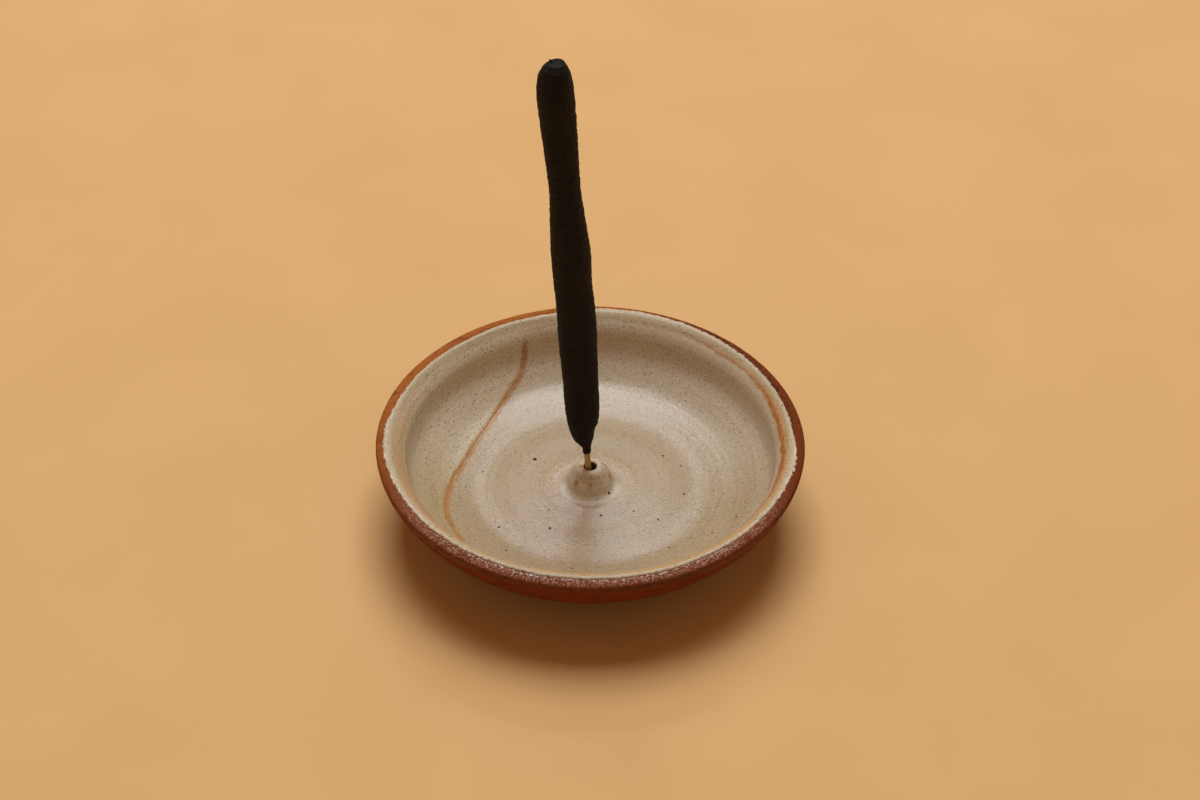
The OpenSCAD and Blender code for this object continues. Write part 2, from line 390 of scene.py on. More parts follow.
def thrown(rows: list[Row], steps: int, closed: bool) -> bmesh.types.BMesh:
    """Spins a profile round the dish's axis.

    Args:
        rows: The points of the profile in order.
        steps: How many steps a full turn has, a multiple of SPIN_CUTS + 1.
        closed: Whether the profile's last point joins its first.

    Returns:
        The mesh in millimetres, with each point's reach and side kept in two layers.
    """
    mesh = bmesh.new()
    reach, side, away = (mesh.verts.layers.float.new(name) for name in ("reach", "side", "away"))
    for row in rows:
        vert = mesh.verts.new((row.radius, 0, row.height))
        vert[reach], vert[side], vert[away] = row.reach, row.side.value, row.radius
    mesh.verts.ensure_lookup_table()
    for i in range(len(rows) if closed else len(rows) - 1):
        mesh.edges.new((mesh.verts[i], mesh.verts[(i + 1) % len(rows)]))
    bmesh.ops.spin(mesh, geom=mesh.verts[:] + mesh.edges[:], cent=(0, 0, 0), axis=(0, 0, 1),
                   dvec=(0, 0, 0), angle=math.tau, steps=steps // (SPIN_CUTS + 1), use_merge=True,
                   use_duplicate=False)
    bmesh.ops.remove_doubles(mesh, verts=mesh.verts, dist=SAME_POINT)
    around = [edge for edge in mesh.edges if goes_round(edge, away)]
    bmesh.ops.subdivide_edges(mesh, edges=around, cuts=SPIN_CUTS, use_grid_fill=True)
    for vert in mesh.verts:
        if vert[away] > SAME_POINT:
            vert.co.xy *= vert[away] / vert.co.xy.length
    bmesh.ops.recalc_face_normals(mesh, faces=mesh.faces)
    return mesh


def goes_round(edge: bmesh.types.BMEdge, away: bmesh.types.BMLayerItem) -> bool:
    """Tells an edge that runs round the axis from one of the profile's own.

    Args:
        edge: An edge of a thrown mesh.
        away: The layer with each point's distance from the axis.

    Returns:
        Whether both its ends are equally high and equally far from the axis.
    """
    one, other = edge.verts
    return abs(one[away] - other[away]) < SAME_POINT and abs(one.co.z - other.co.z) < SAME_POINT


def pressed(mesh: bmesh.types.BMesh, section: DishSection) -> None:
    """Presses the upper part of a thrown mesh out of round.

    Args:
        mesh: A finished mesh of the dish or of its glaze, in millimetres.
        section: The section, with how far the rim is pressed in.
    """
    inward = Round.through(section.pressed_places, 1)
    height = section.belly_h - section.pressed_from_h
    for vert in mesh.verts:
        away = vert.co.xy.length
        if away > section.trough_r and vert.co.z > section.pressed_from_h:
            share = 1 - fade(vert.co.z - section.pressed_from_h, height)
            vert.co.xy *= 1 - inward.at(turn_of(vert.co)) * share / away


def turn_of(place: Vector) -> float:
    """Direction of a place round the dish's axis, in radians."""
    return math.atan2(place.y, place.x)


def nearest_to(places: list[Vector]) -> Callable[[Vector], float]:
    """Readies the search for the nearest of some places.

    Args:
        places: The places.

    Returns:
        A function that gives the distance from a place to the nearest of them.
    """
    tree = KDTree(len(places))
    for i, place in enumerate(places):
        tree.insert(place, i)
    tree.balance()
    return lambda place: tree.find(place)[2]


def at_turn(point: Vector, turn: float) -> Vector:
    """Turns a point of the section, a radius and a height, into a place at a direction."""
    return Vector((point.x * math.cos(turn), point.x * math.sin(turn), point.y))


def finished(mesh: bmesh.types.BMesh, name: str, stands_for: str, body: Body,
             material: bpy.types.Material) -> bpy.types.Object:
    """Turns a mesh in millimetres into a piece of the model.

    Args:
        mesh: The finished mesh; it is freed here.
        name: The piece's name.
        stands_for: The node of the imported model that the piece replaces.
        body: The body that the piece moves with.
        material: The finish of the whole piece.

    Returns:
        The piece's object, at the origin, with its place in its mesh.
    """
    bmesh.ops.scale(mesh, vec=(MM, MM, MM), verts=mesh.verts)
    data = bpy.data.meshes.new(name)
    mesh.to_mesh(data)
    mesh.free()
    data.shade_smooth()
    data.materials.append(material)
    piece = bpy.data.objects.new(name, data)
    bpy.context.scene.collection.objects.link(piece)
    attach(piece, body.value)
    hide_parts(stands_for)
    return piece


class Value:
    """An output socket of a shader node. Arithmetic on it adds Math nodes."""

    def __init__(self, recipe: "Recipe", socket: bpy.types.NodeSocket) -> None:
        """Wraps a socket of a recipe."""
        self.recipe = recipe
        self.socket = socket

    def math(self, operation: str, *others: "Value | float") -> "Value":
        """Adds a Math node on this value and others."""
        inputs = dict(zip(("Value", "Value_001"), (self, *others)))
        return self.recipe.node("ShaderNodeMath", {"operation": operation}, inputs)

    def __add__(self, other: "Value | float") -> "Value":
        """Adds."""
        return self.math("ADD", other)

    def __sub__(self, other: "Value | float") -> "Value":
        """Subtracts."""
        return self.math("SUBTRACT", other)

    def __mul__(self, other: "Value | float") -> "Value":
        """Multiplies."""
        return self.math("MULTIPLY", other)

    def __truediv__(self, other: "Value | float") -> "Value":
        """Divides."""
        return self.math("DIVIDE", other)

    def lesser(self, other: "Value | float") -> "Value":
        """The lesser of two values."""
        return self.math("MINIMUM", other)

    def greater(self, other: "Value | float") -> "Value":
        """The greater of two values."""
        return self.math("MAXIMUM", other)

    def size(self) -> "Value":
        """The value without its sign."""
        return self.math("ABSOLUTE")

    def root(self) -> "Value":
        """The square root of the value."""
        return self.math("SQRT")

    def climb(self, low: float, high: float, bottom: float = 0.0, top: float = 1.0) -> "Value":
        """Eases from one level to another.

        Args:
            low: The value at which the climb starts.
            high: The value at which it ends; it may be the lower number.
            bottom: The level before the climb.
            top: The level after it.

        Returns:
            The eased value.
        """
        if high < low:
            low, high, bottom, top = high, low, top, bottom
        return self.recipe.node("ShaderNodeMapRange", {"interpolation_type": "SMOOTHSTEP"}, {
            "Value": self, "From Min": low, "From Max": high, "To Min": bottom, "To Max": top})


class Here(NamedTuple):
    """Where on the dish a finish is read: its place and height in millimetres, and its direction."""

    place: Value
    radius: Value
    right: Value
    back: Value
    height: Value


class Recipe:
    """The nodes of one finish or of the world."""

    def __init__(self, tree: bpy.types.NodeTree) -> None:
        """Starts on an empty node tree."""
        self.tree = tree
        tree.nodes.clear()

    def node(self, kind: str, settings: dict[str, Any] | None = None,
             inputs: dict[str, Any] | None = None, output: int | str = 0) -> Value:
        """Adds one node.

        Args:
            kind: The node's type.
            settings: Its own settings, set first.
            inputs: A value or a link for each socket, by the socket's identifier.
            output: The output that is wanted, by place or by identifier.

        Returns:
            That output.
        """
        made = self.tree.nodes.new(kind)
        for name, setting in (settings or {}).items():
            setattr(made, name, setting)
        sockets = {socket.identifier: socket for socket in made.inputs}
        for name, given in (inputs or {}).items():
            if isinstance(given, Value):
                self.tree.links.new(given.socket, sockets[name])
            elif isinstance(given, tuple) and sockets[name].type == "RGBA":
                sockets[name].default_value = (*given, 1.0)
            else:
                sockets[name].default_value = given
        if not made.outputs:
            return Value(self, None)
        found = {socket.identifier: socket for socket in made.outputs}
        return Value(self, made.outputs[output] if isinstance(output, int) else found[output])

    def place(self, turned: tuple[float, float, float] = (0, 0, 0)) -> Value:
        """The place on the piece, in millimetres.

        Args:
            turned: How far the pattern is turned round the three axes, in radians.

        Returns:
            The place as a vector.
        """
        here = self.node("ShaderNodeTexCoord", output="Object")
        return self.node("ShaderNodeMapping", {"vector_type": "POINT"}, {
            "Vector": here, "Scale": (1 / MM, 1 / MM, 1 / MM), "Rotation": turned})

    def parts(self, vector: Value) -> tuple[Value, Value, Value]:
        """Splits a vector into its three parts."""
        first = self.node("ShaderNodeSeparateXYZ", inputs={"Vector": vector})
        outputs = first.socket.node.outputs
        return first, Value(self, outputs[1]), Value(self, outputs[2])

    def here(self) -> Here:
        """Measures the place on the piece from the dish's axis."""
        place = self.place()
        x, y, z = self.parts(place)
        radius = (x * x + y * y).root()
        return Here(place, radius, x / radius, y / radius, z)

    def joined(self, x: Value | float, y: Value | float, z: Value | float) -> Value:
        """Joins three values into a vector."""
        return self.node("ShaderNodeCombineXYZ", inputs={"X": x, "Y": y, "Z": z})

    def stretched(self, vector: Value, scale: tuple[float, float, float]) -> Value:
        """Stretches a vector along the three axes."""
        return self.node("ShaderNodeVectorMath", {"operation": "MULTIPLY"}, {
            "Vector": vector, "Vector_001": scale})

    def attribute(self, name: str) -> Value:
        """A number that the mesh carries at each of its points."""
        return self.node("ShaderNodeAttribute", {"attribute_name": name}, output="Fac")

    def cloud(self, vector: Value, per_mm: float, detail: float = 2.0, rough: float = 0.5) -> Value:
        """A soft random pattern, from 0 to 1 about 0.5.

        Args:
            vector: The place that it is read at, in millimetres.
            per_mm: How many features there are to a millimetre.
            detail: How many finer patterns are laid over the first.
            rough: How strong the finer patterns are.

        Returns:
            The pattern.
        """
        return self.node("ShaderNodeTexNoise", {"noise_dimensions": "3D"}, {
            "Vector": vector, "Scale": per_mm, "Detail": detail, "Roughness": rough})

    def specks(self, vector: Value, spacing: float, least: float, most: float, share: float) -> Value:
        """Round specks scattered over the surface.

        Args:
            vector: The place that the pattern is read at, in millimetres.
            spacing: Distance between neighbouring places for a speck.
            least: Radius of the smallest speck.
            most: Radius of the largest speck.
            share: Share of the places that have a speck.

        Returns:
            1 inside a speck, 0 outside it.
        """
        distance = self.node("ShaderNodeTexVoronoi", {"feature": "F1"}, {
            "Vector": vector, "Scale": 1 / spacing, "Randomness": 1.0}, "Distance")
        colour = Value(self, distance.socket.node.outputs["Color"])
        chance, size, _ = self.parts(colour)
        radius = (size * ((most - least) / spacing) + least / spacing) * chance.climb(share, share - 0.02)
        return ((radius - distance) * (2.5 * spacing / most)).greater(0.0).lesser(1.0)

    def blend(self, first: Value | Colour, second: Value | Colour, share: Value | float) -> Value:
        """Blends from a first colour to a second."""
        return self.node("ShaderNodeMix", {"data_type": "RGBA", "clamp_factor": True}, {
            "Factor_Float": share, "A_Color": first, "B_Color": second}, "Result_Color")

    def layered(self, colour: Value | Colour, *layers: tuple[Value | Colour, Value | float]) -> Value:
        """Lays colours over a first one.

        Args:
            colour: The colour underneath.
            layers: The colours from the lowest up, each with its share.

        Returns:
            The colour on top.
        """
        for laid, share in layers:
            colour = self.blend(colour, laid, share)
        return colour

    def spots(self, place: Value, specks: tuple["Speck", ...], soft: float) -> Value:
        """Specks at known places of the floor.

        Args:
            place: The place on the piece, in millimetres.
            specks: The specks, seen in plan.
            soft: Width of their soft edges, in millimetres.

        Returns:
            1 inside a speck, 0 outside it.
        """
        plan = self.stretched(place, (1, 1, 0))
        reaches = []
        for speck in specks:
            ends = {"Vector": plan, "Vector_001": (speck.x, speck.y, 0)}
            away = self.node("ShaderNodeVectorMath", {"operation": "DISTANCE"}, ends, "Value")
            reaches.append(away - speck.radius)
        return reduce(Value.lesser, reaches).climb(0.6 * soft, -0.4 * soft)

    def brightened(self, colour: Value, amount: Value) -> Value:
        """Multiplies a colour's light by a value."""
        return self.node("ShaderNodeVectorMath", {"operation": "SCALE"}, {
            "Vector": colour, "Scale": amount})

    def relief(self, *layers: tuple[Value, float]) -> Value:
        """Lays fine relief over the surface.

        Args:
            layers: Patterns from 0 to 1, each with its height in millimetres.

        Returns:
            The normal to shade with.
        """
        height = reduce(Value.__add__, (pattern * (depth * MM) for pattern, depth in layers))
        return self.node("ShaderNodeBump", inputs={"Height": height, "Distance": 1.0, "Strength": 1.0})

    def surface(self, **inputs: Any) -> None:
        """Ends the recipe with a Principled surface.

        Args:
            inputs: Its sockets, with underscores for the spaces in their names.
        """
        sockets = {name.replace("_", " "): given for name, given in inputs.items()}
        shader = self.node("ShaderNodeBsdfPrincipled", inputs=sockets)
        self.node("ShaderNodeOutputMaterial", inputs={"Surface": shader})


def new_material(name: str) -> tuple[bpy.types.Material, Recipe]:
    """Starts a material and its recipe."""
    material = bpy.data.materials.new(name)
    material.use_nodes = True
    return material, Recipe(material.node_tree)


@dataclass(frozen=True)
class ToastedClay:
    """Bare red stoneware, toasted where the flame reached it and sandy where it was wiped, with painted
    sheen on the front of the lip.
    """

    body: Colour = shade(138, 76, 38)
    orange: Colour = shade(172, 100, 46)
    brown: Colour = shade(112, 48, 14)
    wall: Colour = shade(126, 52, 20)
    wall_line: Colour = shade(98, 40, 17)
    scorched: Colour = shade(62, 38, 28)
    sand_and_painted_sheen: Colour = shade(208, 172, 158)
    hole_shade: Colour = shade(60, 34, 20)
    rust: Colour = shade(190, 98, 44)
    grain_per_mm: float = 2.6
    sand_spacing: float = 0.6
    # Heights: where the wall's colour starts to end, where it has ended, where the sandy lip is wiped
    # bare, and where the socket's hole has its mouth
    wall_h: float = 25.8
    bare_h: float = 27.3
    wiped_h: float = 28.2
    mouth_h: float = 16.1

    def material(self) -> bpy.types.Material:
        """Makes the finish."""
        material, recipe = new_material("toasted_clay")
        place, radius, right, back, z = recipe.here()
        front = back.climb(-0.30, -0.85)
        broad = recipe.cloud(place, 0.07, 3.0, 0.6)
        patches = recipe.cloud(place, 0.40, 3.0, 0.6)
        grain = recipe.cloud(place, self.grain_per_mm, 3.0, 0.7)
        back_left = (back * 0.8 - right * 0.6).climb(0.1, 0.9)
        to_right = right.climb(-0.1, 0.8)
        crumbs = recipe.specks(place, 1.3, 0.15, 0.42, 0.4)
        grit = recipe.cloud(place, 1.8, 3.0, 0.75).climb(0.47, 0.60)
        sand_and_painted_sheen = recipe.specks(place, self.sand_spacing, 0.10, 0.30, 0.85).greater(grit)
        smudged = recipe.cloud(place, 0.22, 2.0).climb(0.25, 0.5, 0.35, 1.0)
        wiped = z.climb(self.bare_h, self.wiped_h) * smudged
        lines = recipe.cloud(recipe.stretched(place, (0.10, 0.10, 2.2)), 1.0, 2.0, 0.5)
        lined = recipe.blend(self.wall, self.wall_line, lines.climb(0.42, 0.66))
        # A darker band round the belly at the right and the front, broken into patches
        belt = z.climb(25.4, 26.3) * z.climb(27.7, 26.9) * patches.climb(0.34, 0.60)
        darker_belly_band = belt * right.climb(-0.5, 0.5).greater(front * 0.8)
        back_right = (right * 0.75 + back * 0.65).climb(0.72, 0.95) * radius.climb(60.9, 60.0)
        scorched = back_right * recipe.cloud(place, 1.1, 2.0).climb(0.42, 0.6)
        colour = recipe.layered(
            self.body,
            (self.orange, back_left * 0.85 + broad.climb(0.45, 0.7) * 0.25),
            (self.brown, (to_right * 0.75).greater(front * 0.6)),
            (self.brown, patches.climb(0.48, 0.72) * 0.55),
            (self.scorched, crumbs * 0.35),
            # Painted sheen: the pale sand specks lie far more thickly on the front of the lip, where it
            # catches the light
            (self.sand_and_painted_sheen, sand_and_painted_sheen * wiped * (front * 0.70 + 0.03)),
            (lined, z.climb(self.bare_h, self.wall_h) * 0.92),
            (self.scorched, darker_belly_band * 0.75),
            (self.scorched, scorched * 0.7))
        colour = recipe.brightened(colour, grain.climb(0.25, 0.75, 0.76, 1.22))
        recipe.surface(Base_Color=colour, Roughness=grain.climb(0.3, 0.7, 0.85, 0.70),
                       Normal=recipe.relief((grain, 0.16), (sand_and_painted_sheen, 0.07), (patches, 0.12)),
                       Coat_Weight=sand_and_painted_sheen * front * 0.9, Coat_Roughness=0.2, Specular_IOR_Level=0.03)
        return material

    def socket_material(self) -> bpy.types.Material:
        """Makes the clay of the socket: rusty at the mouth's edge and dark down the hole."""
        material, recipe = new_material("socket_clay")
        place = recipe.place()
        x, _, z = recipe.parts(place)
        grain = recipe.cloud(place, self.grain_per_mm, 2.0, 0.6)
        patches = recipe.cloud(place, 0.8, 2.0, 0.5)
        colour = recipe.layered(
            self.brown,
            (self.rust, patches.climb(0.35, 0.65) * x.climb(0.6, -1.0) * 0.8),
            (self.hole_shade, z.climb(self.mouth_h, self.mouth_h - 0.9)))
        colour = recipe.brightened(colour, grain.climb(0.2, 0.8, 0.8, 1.15))
        recipe.surface(Base_Color=colour, Roughness=grain.climb(0.3, 0.7, 0.8, 0.65),
                       Normal=recipe.relief((grain, 0.07), (patches, 0.06)))
        return material


class Speck(NamedTuple):
    """One speck in the glaze: its place in plan and its radius, in millimetres."""

    x: float
    y: float
    radius: float


# Specks and rusty spots that can be told apart in the photograph
IRON_SPECKS = (
    Speck(-16.6, 11.5, 0.55), Speck(-26.4, -17.5, 0.38), Speck(-11.6, -18.7, 0.42),
    Speck(-5.0, -34.9, 0.32), Speck(-12.0, -11.0, 0.30), Speck(-24.0, -28.0, 0.34),
    Speck(-32.3, 6.4, 0.28), Speck(21.9, 13.8, 0.36), Speck(27.2, 9.7, 0.32), Speck(27.8, -2.9, 0.36),
    Speck(12.8, -11.2, 0.34), Speck(3.2, -13.4, 0.40), Speck(19.9, -14.5, 0.36),
    Speck(42.6, -16.0, 0.34), Speck(22.9, -25.9, 0.30), Speck(35.4, -21.2, 0.30), Speck(5.6, -4.7, 0.34))
RUSTY_SPOTS = (
    Speck(5.6, 0.15, 0.55), Speck(4.87, 0.75, 0.50), Speck(3.74, 1.2, 0.40), Speck(5.77, -1.35, 0.50),
    Speck(-3.93, -4.2, 0.55), Speck(0.0, -5.4, 0.60), Speck(2.6, -4.45, 0.45), Speck(1.3, -5.0, 0.40),
    Speck(-1.6, -2.1, 0.60), Speck(-2.5, -0.4, 0.55), Speck(-2.2, -1.3, 0.50), Speck(17.7, -1.1, 0.50))


@dataclass(frozen=True)
class SpeckledGlaze:
    """A half-glossy speckled glaze, with its marks at the edge, on the socket and along the second coat."""

    name: str
    warm: Colour = shade(175, 151, 120)
    cool: Colour = shade(169, 150, 119)
    khaki: Colour = shade(174, 153, 115)
    # Painted fill light: the pale colour lightens a band of the upper wall
    pale: Colour = shade(216, 194, 168)
    cream: Colour = shade(188, 171, 140)
    chip: Colour = shade(222, 214, 204)
    tan: Colour = shade(194, 156, 106)
    ochre: Colour = shade(172, 98, 42)
    line: Colour = shade(172, 122, 68)
    iron: Colour = shade(50, 30, 16)
    soot: Colour = shade(86, 74, 66)
    rust: Colour = shade(170, 112, 44)
    grime: Colour = shade(166, 154, 134)
    worn: Colour = shade(190, 173, 148)
    # Painted fill light: lightens the back wall and the socket's shaded front
    painted_fill: Colour = shade(228, 220, 206)
    specks: tuple[Speck, ...] = ()
    rusty: tuple[Speck, ...] = ()
    floor_end: float = 30.0
    wall_middle: float = 45.0
    dustiness: float = 0.36
    roughness: float = 0.155
    specular: float = 0.33
    speck_soft: float = 0.14
    rust_soft: float = 1.1
    line_half_w: float = 1.5

    def material(self) -> bpy.types.Material:
        """Makes the finish."""
        material, recipe = new_material(self.name)
        here = recipe.here()
        place, radius, back = here.place, here.radius, here.back
        mottle = recipe.cloud(place, 0.50, 3.0, 0.6)
        grain = recipe.cloud(place, 1.7, 3.0, 0.75)
        tone = recipe.cloud(place, 0.06, 3.0, 0.55)
        strokes = self.throwing_lines(recipe, here)
        broken = mottle.climb(0.30, 0.62, 0.72, 1.0)
        painted_fill_at_back = back.climb(-0.3, 0.5) * radius.climb(self.floor_end, self.wall_middle)
        # Painted fill light on the back wall, from the floor's end up to the wall's middle
        colour = recipe.layered(
            self.warm,
            (self.cool, tone.climb(0.36, 0.64) * 0.6 + mottle.climb(0.3, 0.7) * 0.4),
            (self.khaki, recipe.attribute("khaki") * broken),
            # Painted fill light: the pale band below the rim, then the lighter back wall
            (self.pale, recipe.attribute("pale")),
            (self.painted_fill, painted_fill_at_back * 0.30))
        colour = self.with_edge(recipe, colour, place, broken)
        colour = self.with_socket_marks(recipe, colour, here)
        ragged = recipe.cloud(place, 0.8, 2.0).climb(0.2, 0.8, -0.25, 0.25)
        from_line = (recipe.attribute("line_mm") + ragged).size()
        on_line = from_line.climb(self.line_half_w, 0.45 * self.line_half_w)
        thick = recipe.cloud(place, 0.25, 2.0).climb(0.25, 0.6, 0.58, 0.86)
        dust = recipe.specks(place, 1.0, 0.16, 0.46, 0.62)
        dots = recipe.specks(recipe.stretched(place, (1.0, 1.0, 0.9)), 3.1, 0.18, 0.46, 0.28)
        rusty_dots = recipe.specks(recipe.stretched(place, (1.0, 0.95, 1.0)), 2.3, 0.16, 0.42, 0.30)
        colour = recipe.layered(
            colour,
            (self.line, on_line * thick * recipe.attribute("line_share")),
            (self.iron, dust * self.dustiness),
            (self.rust, rusty_dots * 0.42),
            (self.iron, dots * 0.50))
        worn_floor = radius.climb(11, 17) * radius.climb(34, 29) * back.climb(-0.60, 0.0)
        dull = radius.climb(10.4, 8.6) * 0.30 + recipe.attribute("cream") * 0.22 + worn_floor * 0.22
        if self.specks:
            speck = recipe.spots(place, self.specks, self.speck_soft)
            colour = recipe.blend(colour, self.iron, speck)
            dull = dull + speck * 0.7
        light = grain.climb(0.28, 0.72, 0.80, 1.16) * strokes.climb(0.35, 0.65, 0.965, 1.03)
        gloss = mottle.climb(0.3, 0.7, self.roughness - 0.05, self.roughness + 0.07)
        peel = recipe.cloud(place, 1.25, 3.0, 0.6)
        fine = recipe.cloud(place, 3.2, 2.0, 0.6)
        recipe.surface(Base_Color=recipe.brightened(colour, light), Roughness=gloss + dull,
                       Normal=recipe.relief((peel, 0.10), (fine, 0.03), (strokes, 0.035)),
                       Specular_IOR_Level=self.specular)
        return material

    def throwing_lines(self, recipe: Recipe, here: Here) -> Value:
        """Fine lines round the dish, left by the fingers: a pattern that hardly changes round the axis.

        Args:
            recipe: The recipe of the finish.
            here: Where on the dish the finish is read.

        Returns:
            The pattern, from 0 to 1 about 0.5.
        """
        waver = recipe.cloud(here.place, 0.06, 2.0) * 1.6
        broad = recipe.cloud(here.place, 0.025, 1.0) * 4.0
        level = recipe.joined((here.radius + waver) * 0.9, (here.height + waver) * 0.9, broad)
        return recipe.cloud(level, 1.0, 2.0, 0.6)

    def with_edge(self, recipe: Recipe, colour: Value, place: Value, broken: Value) -> Value:
        """Lays the zones that follow the rim over the glaze: tan, ochre and cream, with chips and soot.

        Args:
            recipe: The recipe of the finish.
            colour: The glaze's colour so far.
            place: The place on the piece, in millimetres.
            broken: How fully the zones cover the glaze, from place to place.

        Returns:
            The colour with the rim's zones.
        """
        smeared = recipe.cloud(recipe.stretched(place, (1, 1, 0.5)), 0.7, 3.0, 0.65)
        flaked = recipe.cloud(place, 0.9, 2.0)
        specked = recipe.cloud(place, 1.5, 2.0, 0.6)
        return recipe.layered(
            colour,
            (self.tan, recipe.attribute("tan") * broken),
            (self.ochre, recipe.attribute("ochre") * smeared.climb(0.30, 0.58, 0.55, 1.0)),
            (self.cream, recipe.attribute("cream") * broken),
            (self.chip, recipe.attribute("chips") * flaked.climb(0.44, 0.58) * 0.85),
            (self.soot, recipe.attribute("soot") * specked.climb(0.44, 0.56) * 0.85))

    def with_socket_marks(self, recipe: Recipe, colour: Value, here: Here) -> Value:
        """Lays the wear, the grime and the rust of the socket over the glaze, and painted fill light on its
        shaded front.

        Args:
            recipe: The recipe of the finish.
            colour: The glaze's colour so far.
            here: Where on the dish the finish is read.

        Returns:
            The colour with the socket's marks.
        """
        place, radius, z = here.place, here.radius, here.height
        blotch = recipe.cloud(place, 1.1, 3.0, 0.65)
        foot = radius.climb(10.6, 7.8) * radius.climb(5.4, 6.8)
        # Painted fill light on the socket's shaded front, low on the dome and on its skirt
        painted_fill_on_socket = radius.climb(10.5, 7.5) * z.climb(15.6, 13.4) * here.back.climb(0.3, -0.3)
        colour = recipe.layered(
            colour,
            (self.worn, radius.climb(7.4, 5.8) * blotch.climb(0.2, 0.6, 0.6, 0.95)),
            (self.grime, foot * blotch.climb(0.25, 0.7, 0.10, 0.40)),
            (self.painted_fill, painted_fill_on_socket * 0.62))
        if not self.rusty:
            return colour
        rusted = recipe.spots(place, self.rusty, self.rust_soft) * blotch.climb(0.30, 0.44)
        level = z + blotch * 3.0
        belt = (level.climb(13.4, 14.2) * level.climb(16.4, 15.2)).greater(z.climb(15.2, 15.7))
        return recipe.blend(colour, self.rust, rusted * belt * 0.95)


@dataclass(frozen=True)
class SplitBamboo:
    """Pale sawn bamboo with its fibres along the stick."""

    pale: Colour = shade(206, 176, 122)
    fibre: Colour = shade(150, 116, 70)
    lean: float = 0.0

    def material(self) -> bpy.types.Material:
        """Makes the finish."""
        material, recipe = new_material("split_bamboo")
        place = recipe.place((0, self.lean, 0))
        fibres = recipe.cloud(recipe.stretched(place, (3.0, 3.0, 0.12)), 1.0, 3.0, 0.6)
        wear = recipe.cloud(place, 0.6, 2.0)
        colour = recipe.blend(self.pale, self.fibre, fibres.climb(0.4, 0.65) * 0.8)
        colour = recipe.brightened(colour, wear.climb(0.2, 0.8, 0.85, 1.12))
        recipe.surface(Base_Color=colour, Roughness=fibres.climb(0.3, 0.7, 0.55, 0.7),
                       Normal=recipe.relief((fibres, 0.05)))
        return material


@dataclass(frozen=True)
class CharcoalPaste:
    """Rolled charcoal paste, black and granular, with a few grey crumbs."""

    black: Colour = shade(15, 10, 7)
    brown: Colour = shade(32, 22, 15)
    ash: Colour = shade(72, 66, 62)
    lean: float = 0.0

    def material(self) -> bpy.types.Material:
        """Makes the finish."""
        material, recipe = new_material("charcoal_paste")
        place = recipe.place((0, self.lean, 0))
        grain = recipe.cloud(place, 2.2, 3.0, 0.7)
        lumps = recipe.cloud(recipe.stretched(place, (1, 1, 1.6)), 0.7, 3.0, 0.6)
        crumbs = recipe.specks(place, 1.0, 0.10, 0.30, 0.35)
        colour = recipe.layered(
            self.black,
            (self.brown, lumps.climb(0.45, 0.7) * 0.6),
            (self.ash, crumbs * 0.30))
        recipe.surface(Base_Color=colour, Roughness=grain.climb(0.3, 0.7, 0.82, 0.68),
                       Normal=recipe.relief((grain, 0.16), (lumps, 0.25), (crumbs, 0.06)),
                       Specular_IOR_Level=0.22)
        return material


@dataclass(frozen=True)
class PalePaper:
    """The plain pale paper that the dish stands on."""

    tone: Colour = shade(219, 176, 120)
    deeper: Colour = shade(215, 172, 116)

    def material(self) -> bpy.types.Material:
        """Makes the finish."""
        material, recipe = new_material("pale_paper")
        place = recipe.place()
        fibres = recipe.cloud(place, 0.02, 3.0, 0.5)
        colour = recipe.blend(self.tone, self.deeper, fibres.climb(0.3, 0.7))
        recipe.surface(Base_Color=colour, Roughness=0.9, Specular_IOR_Level=0.2)
        return material


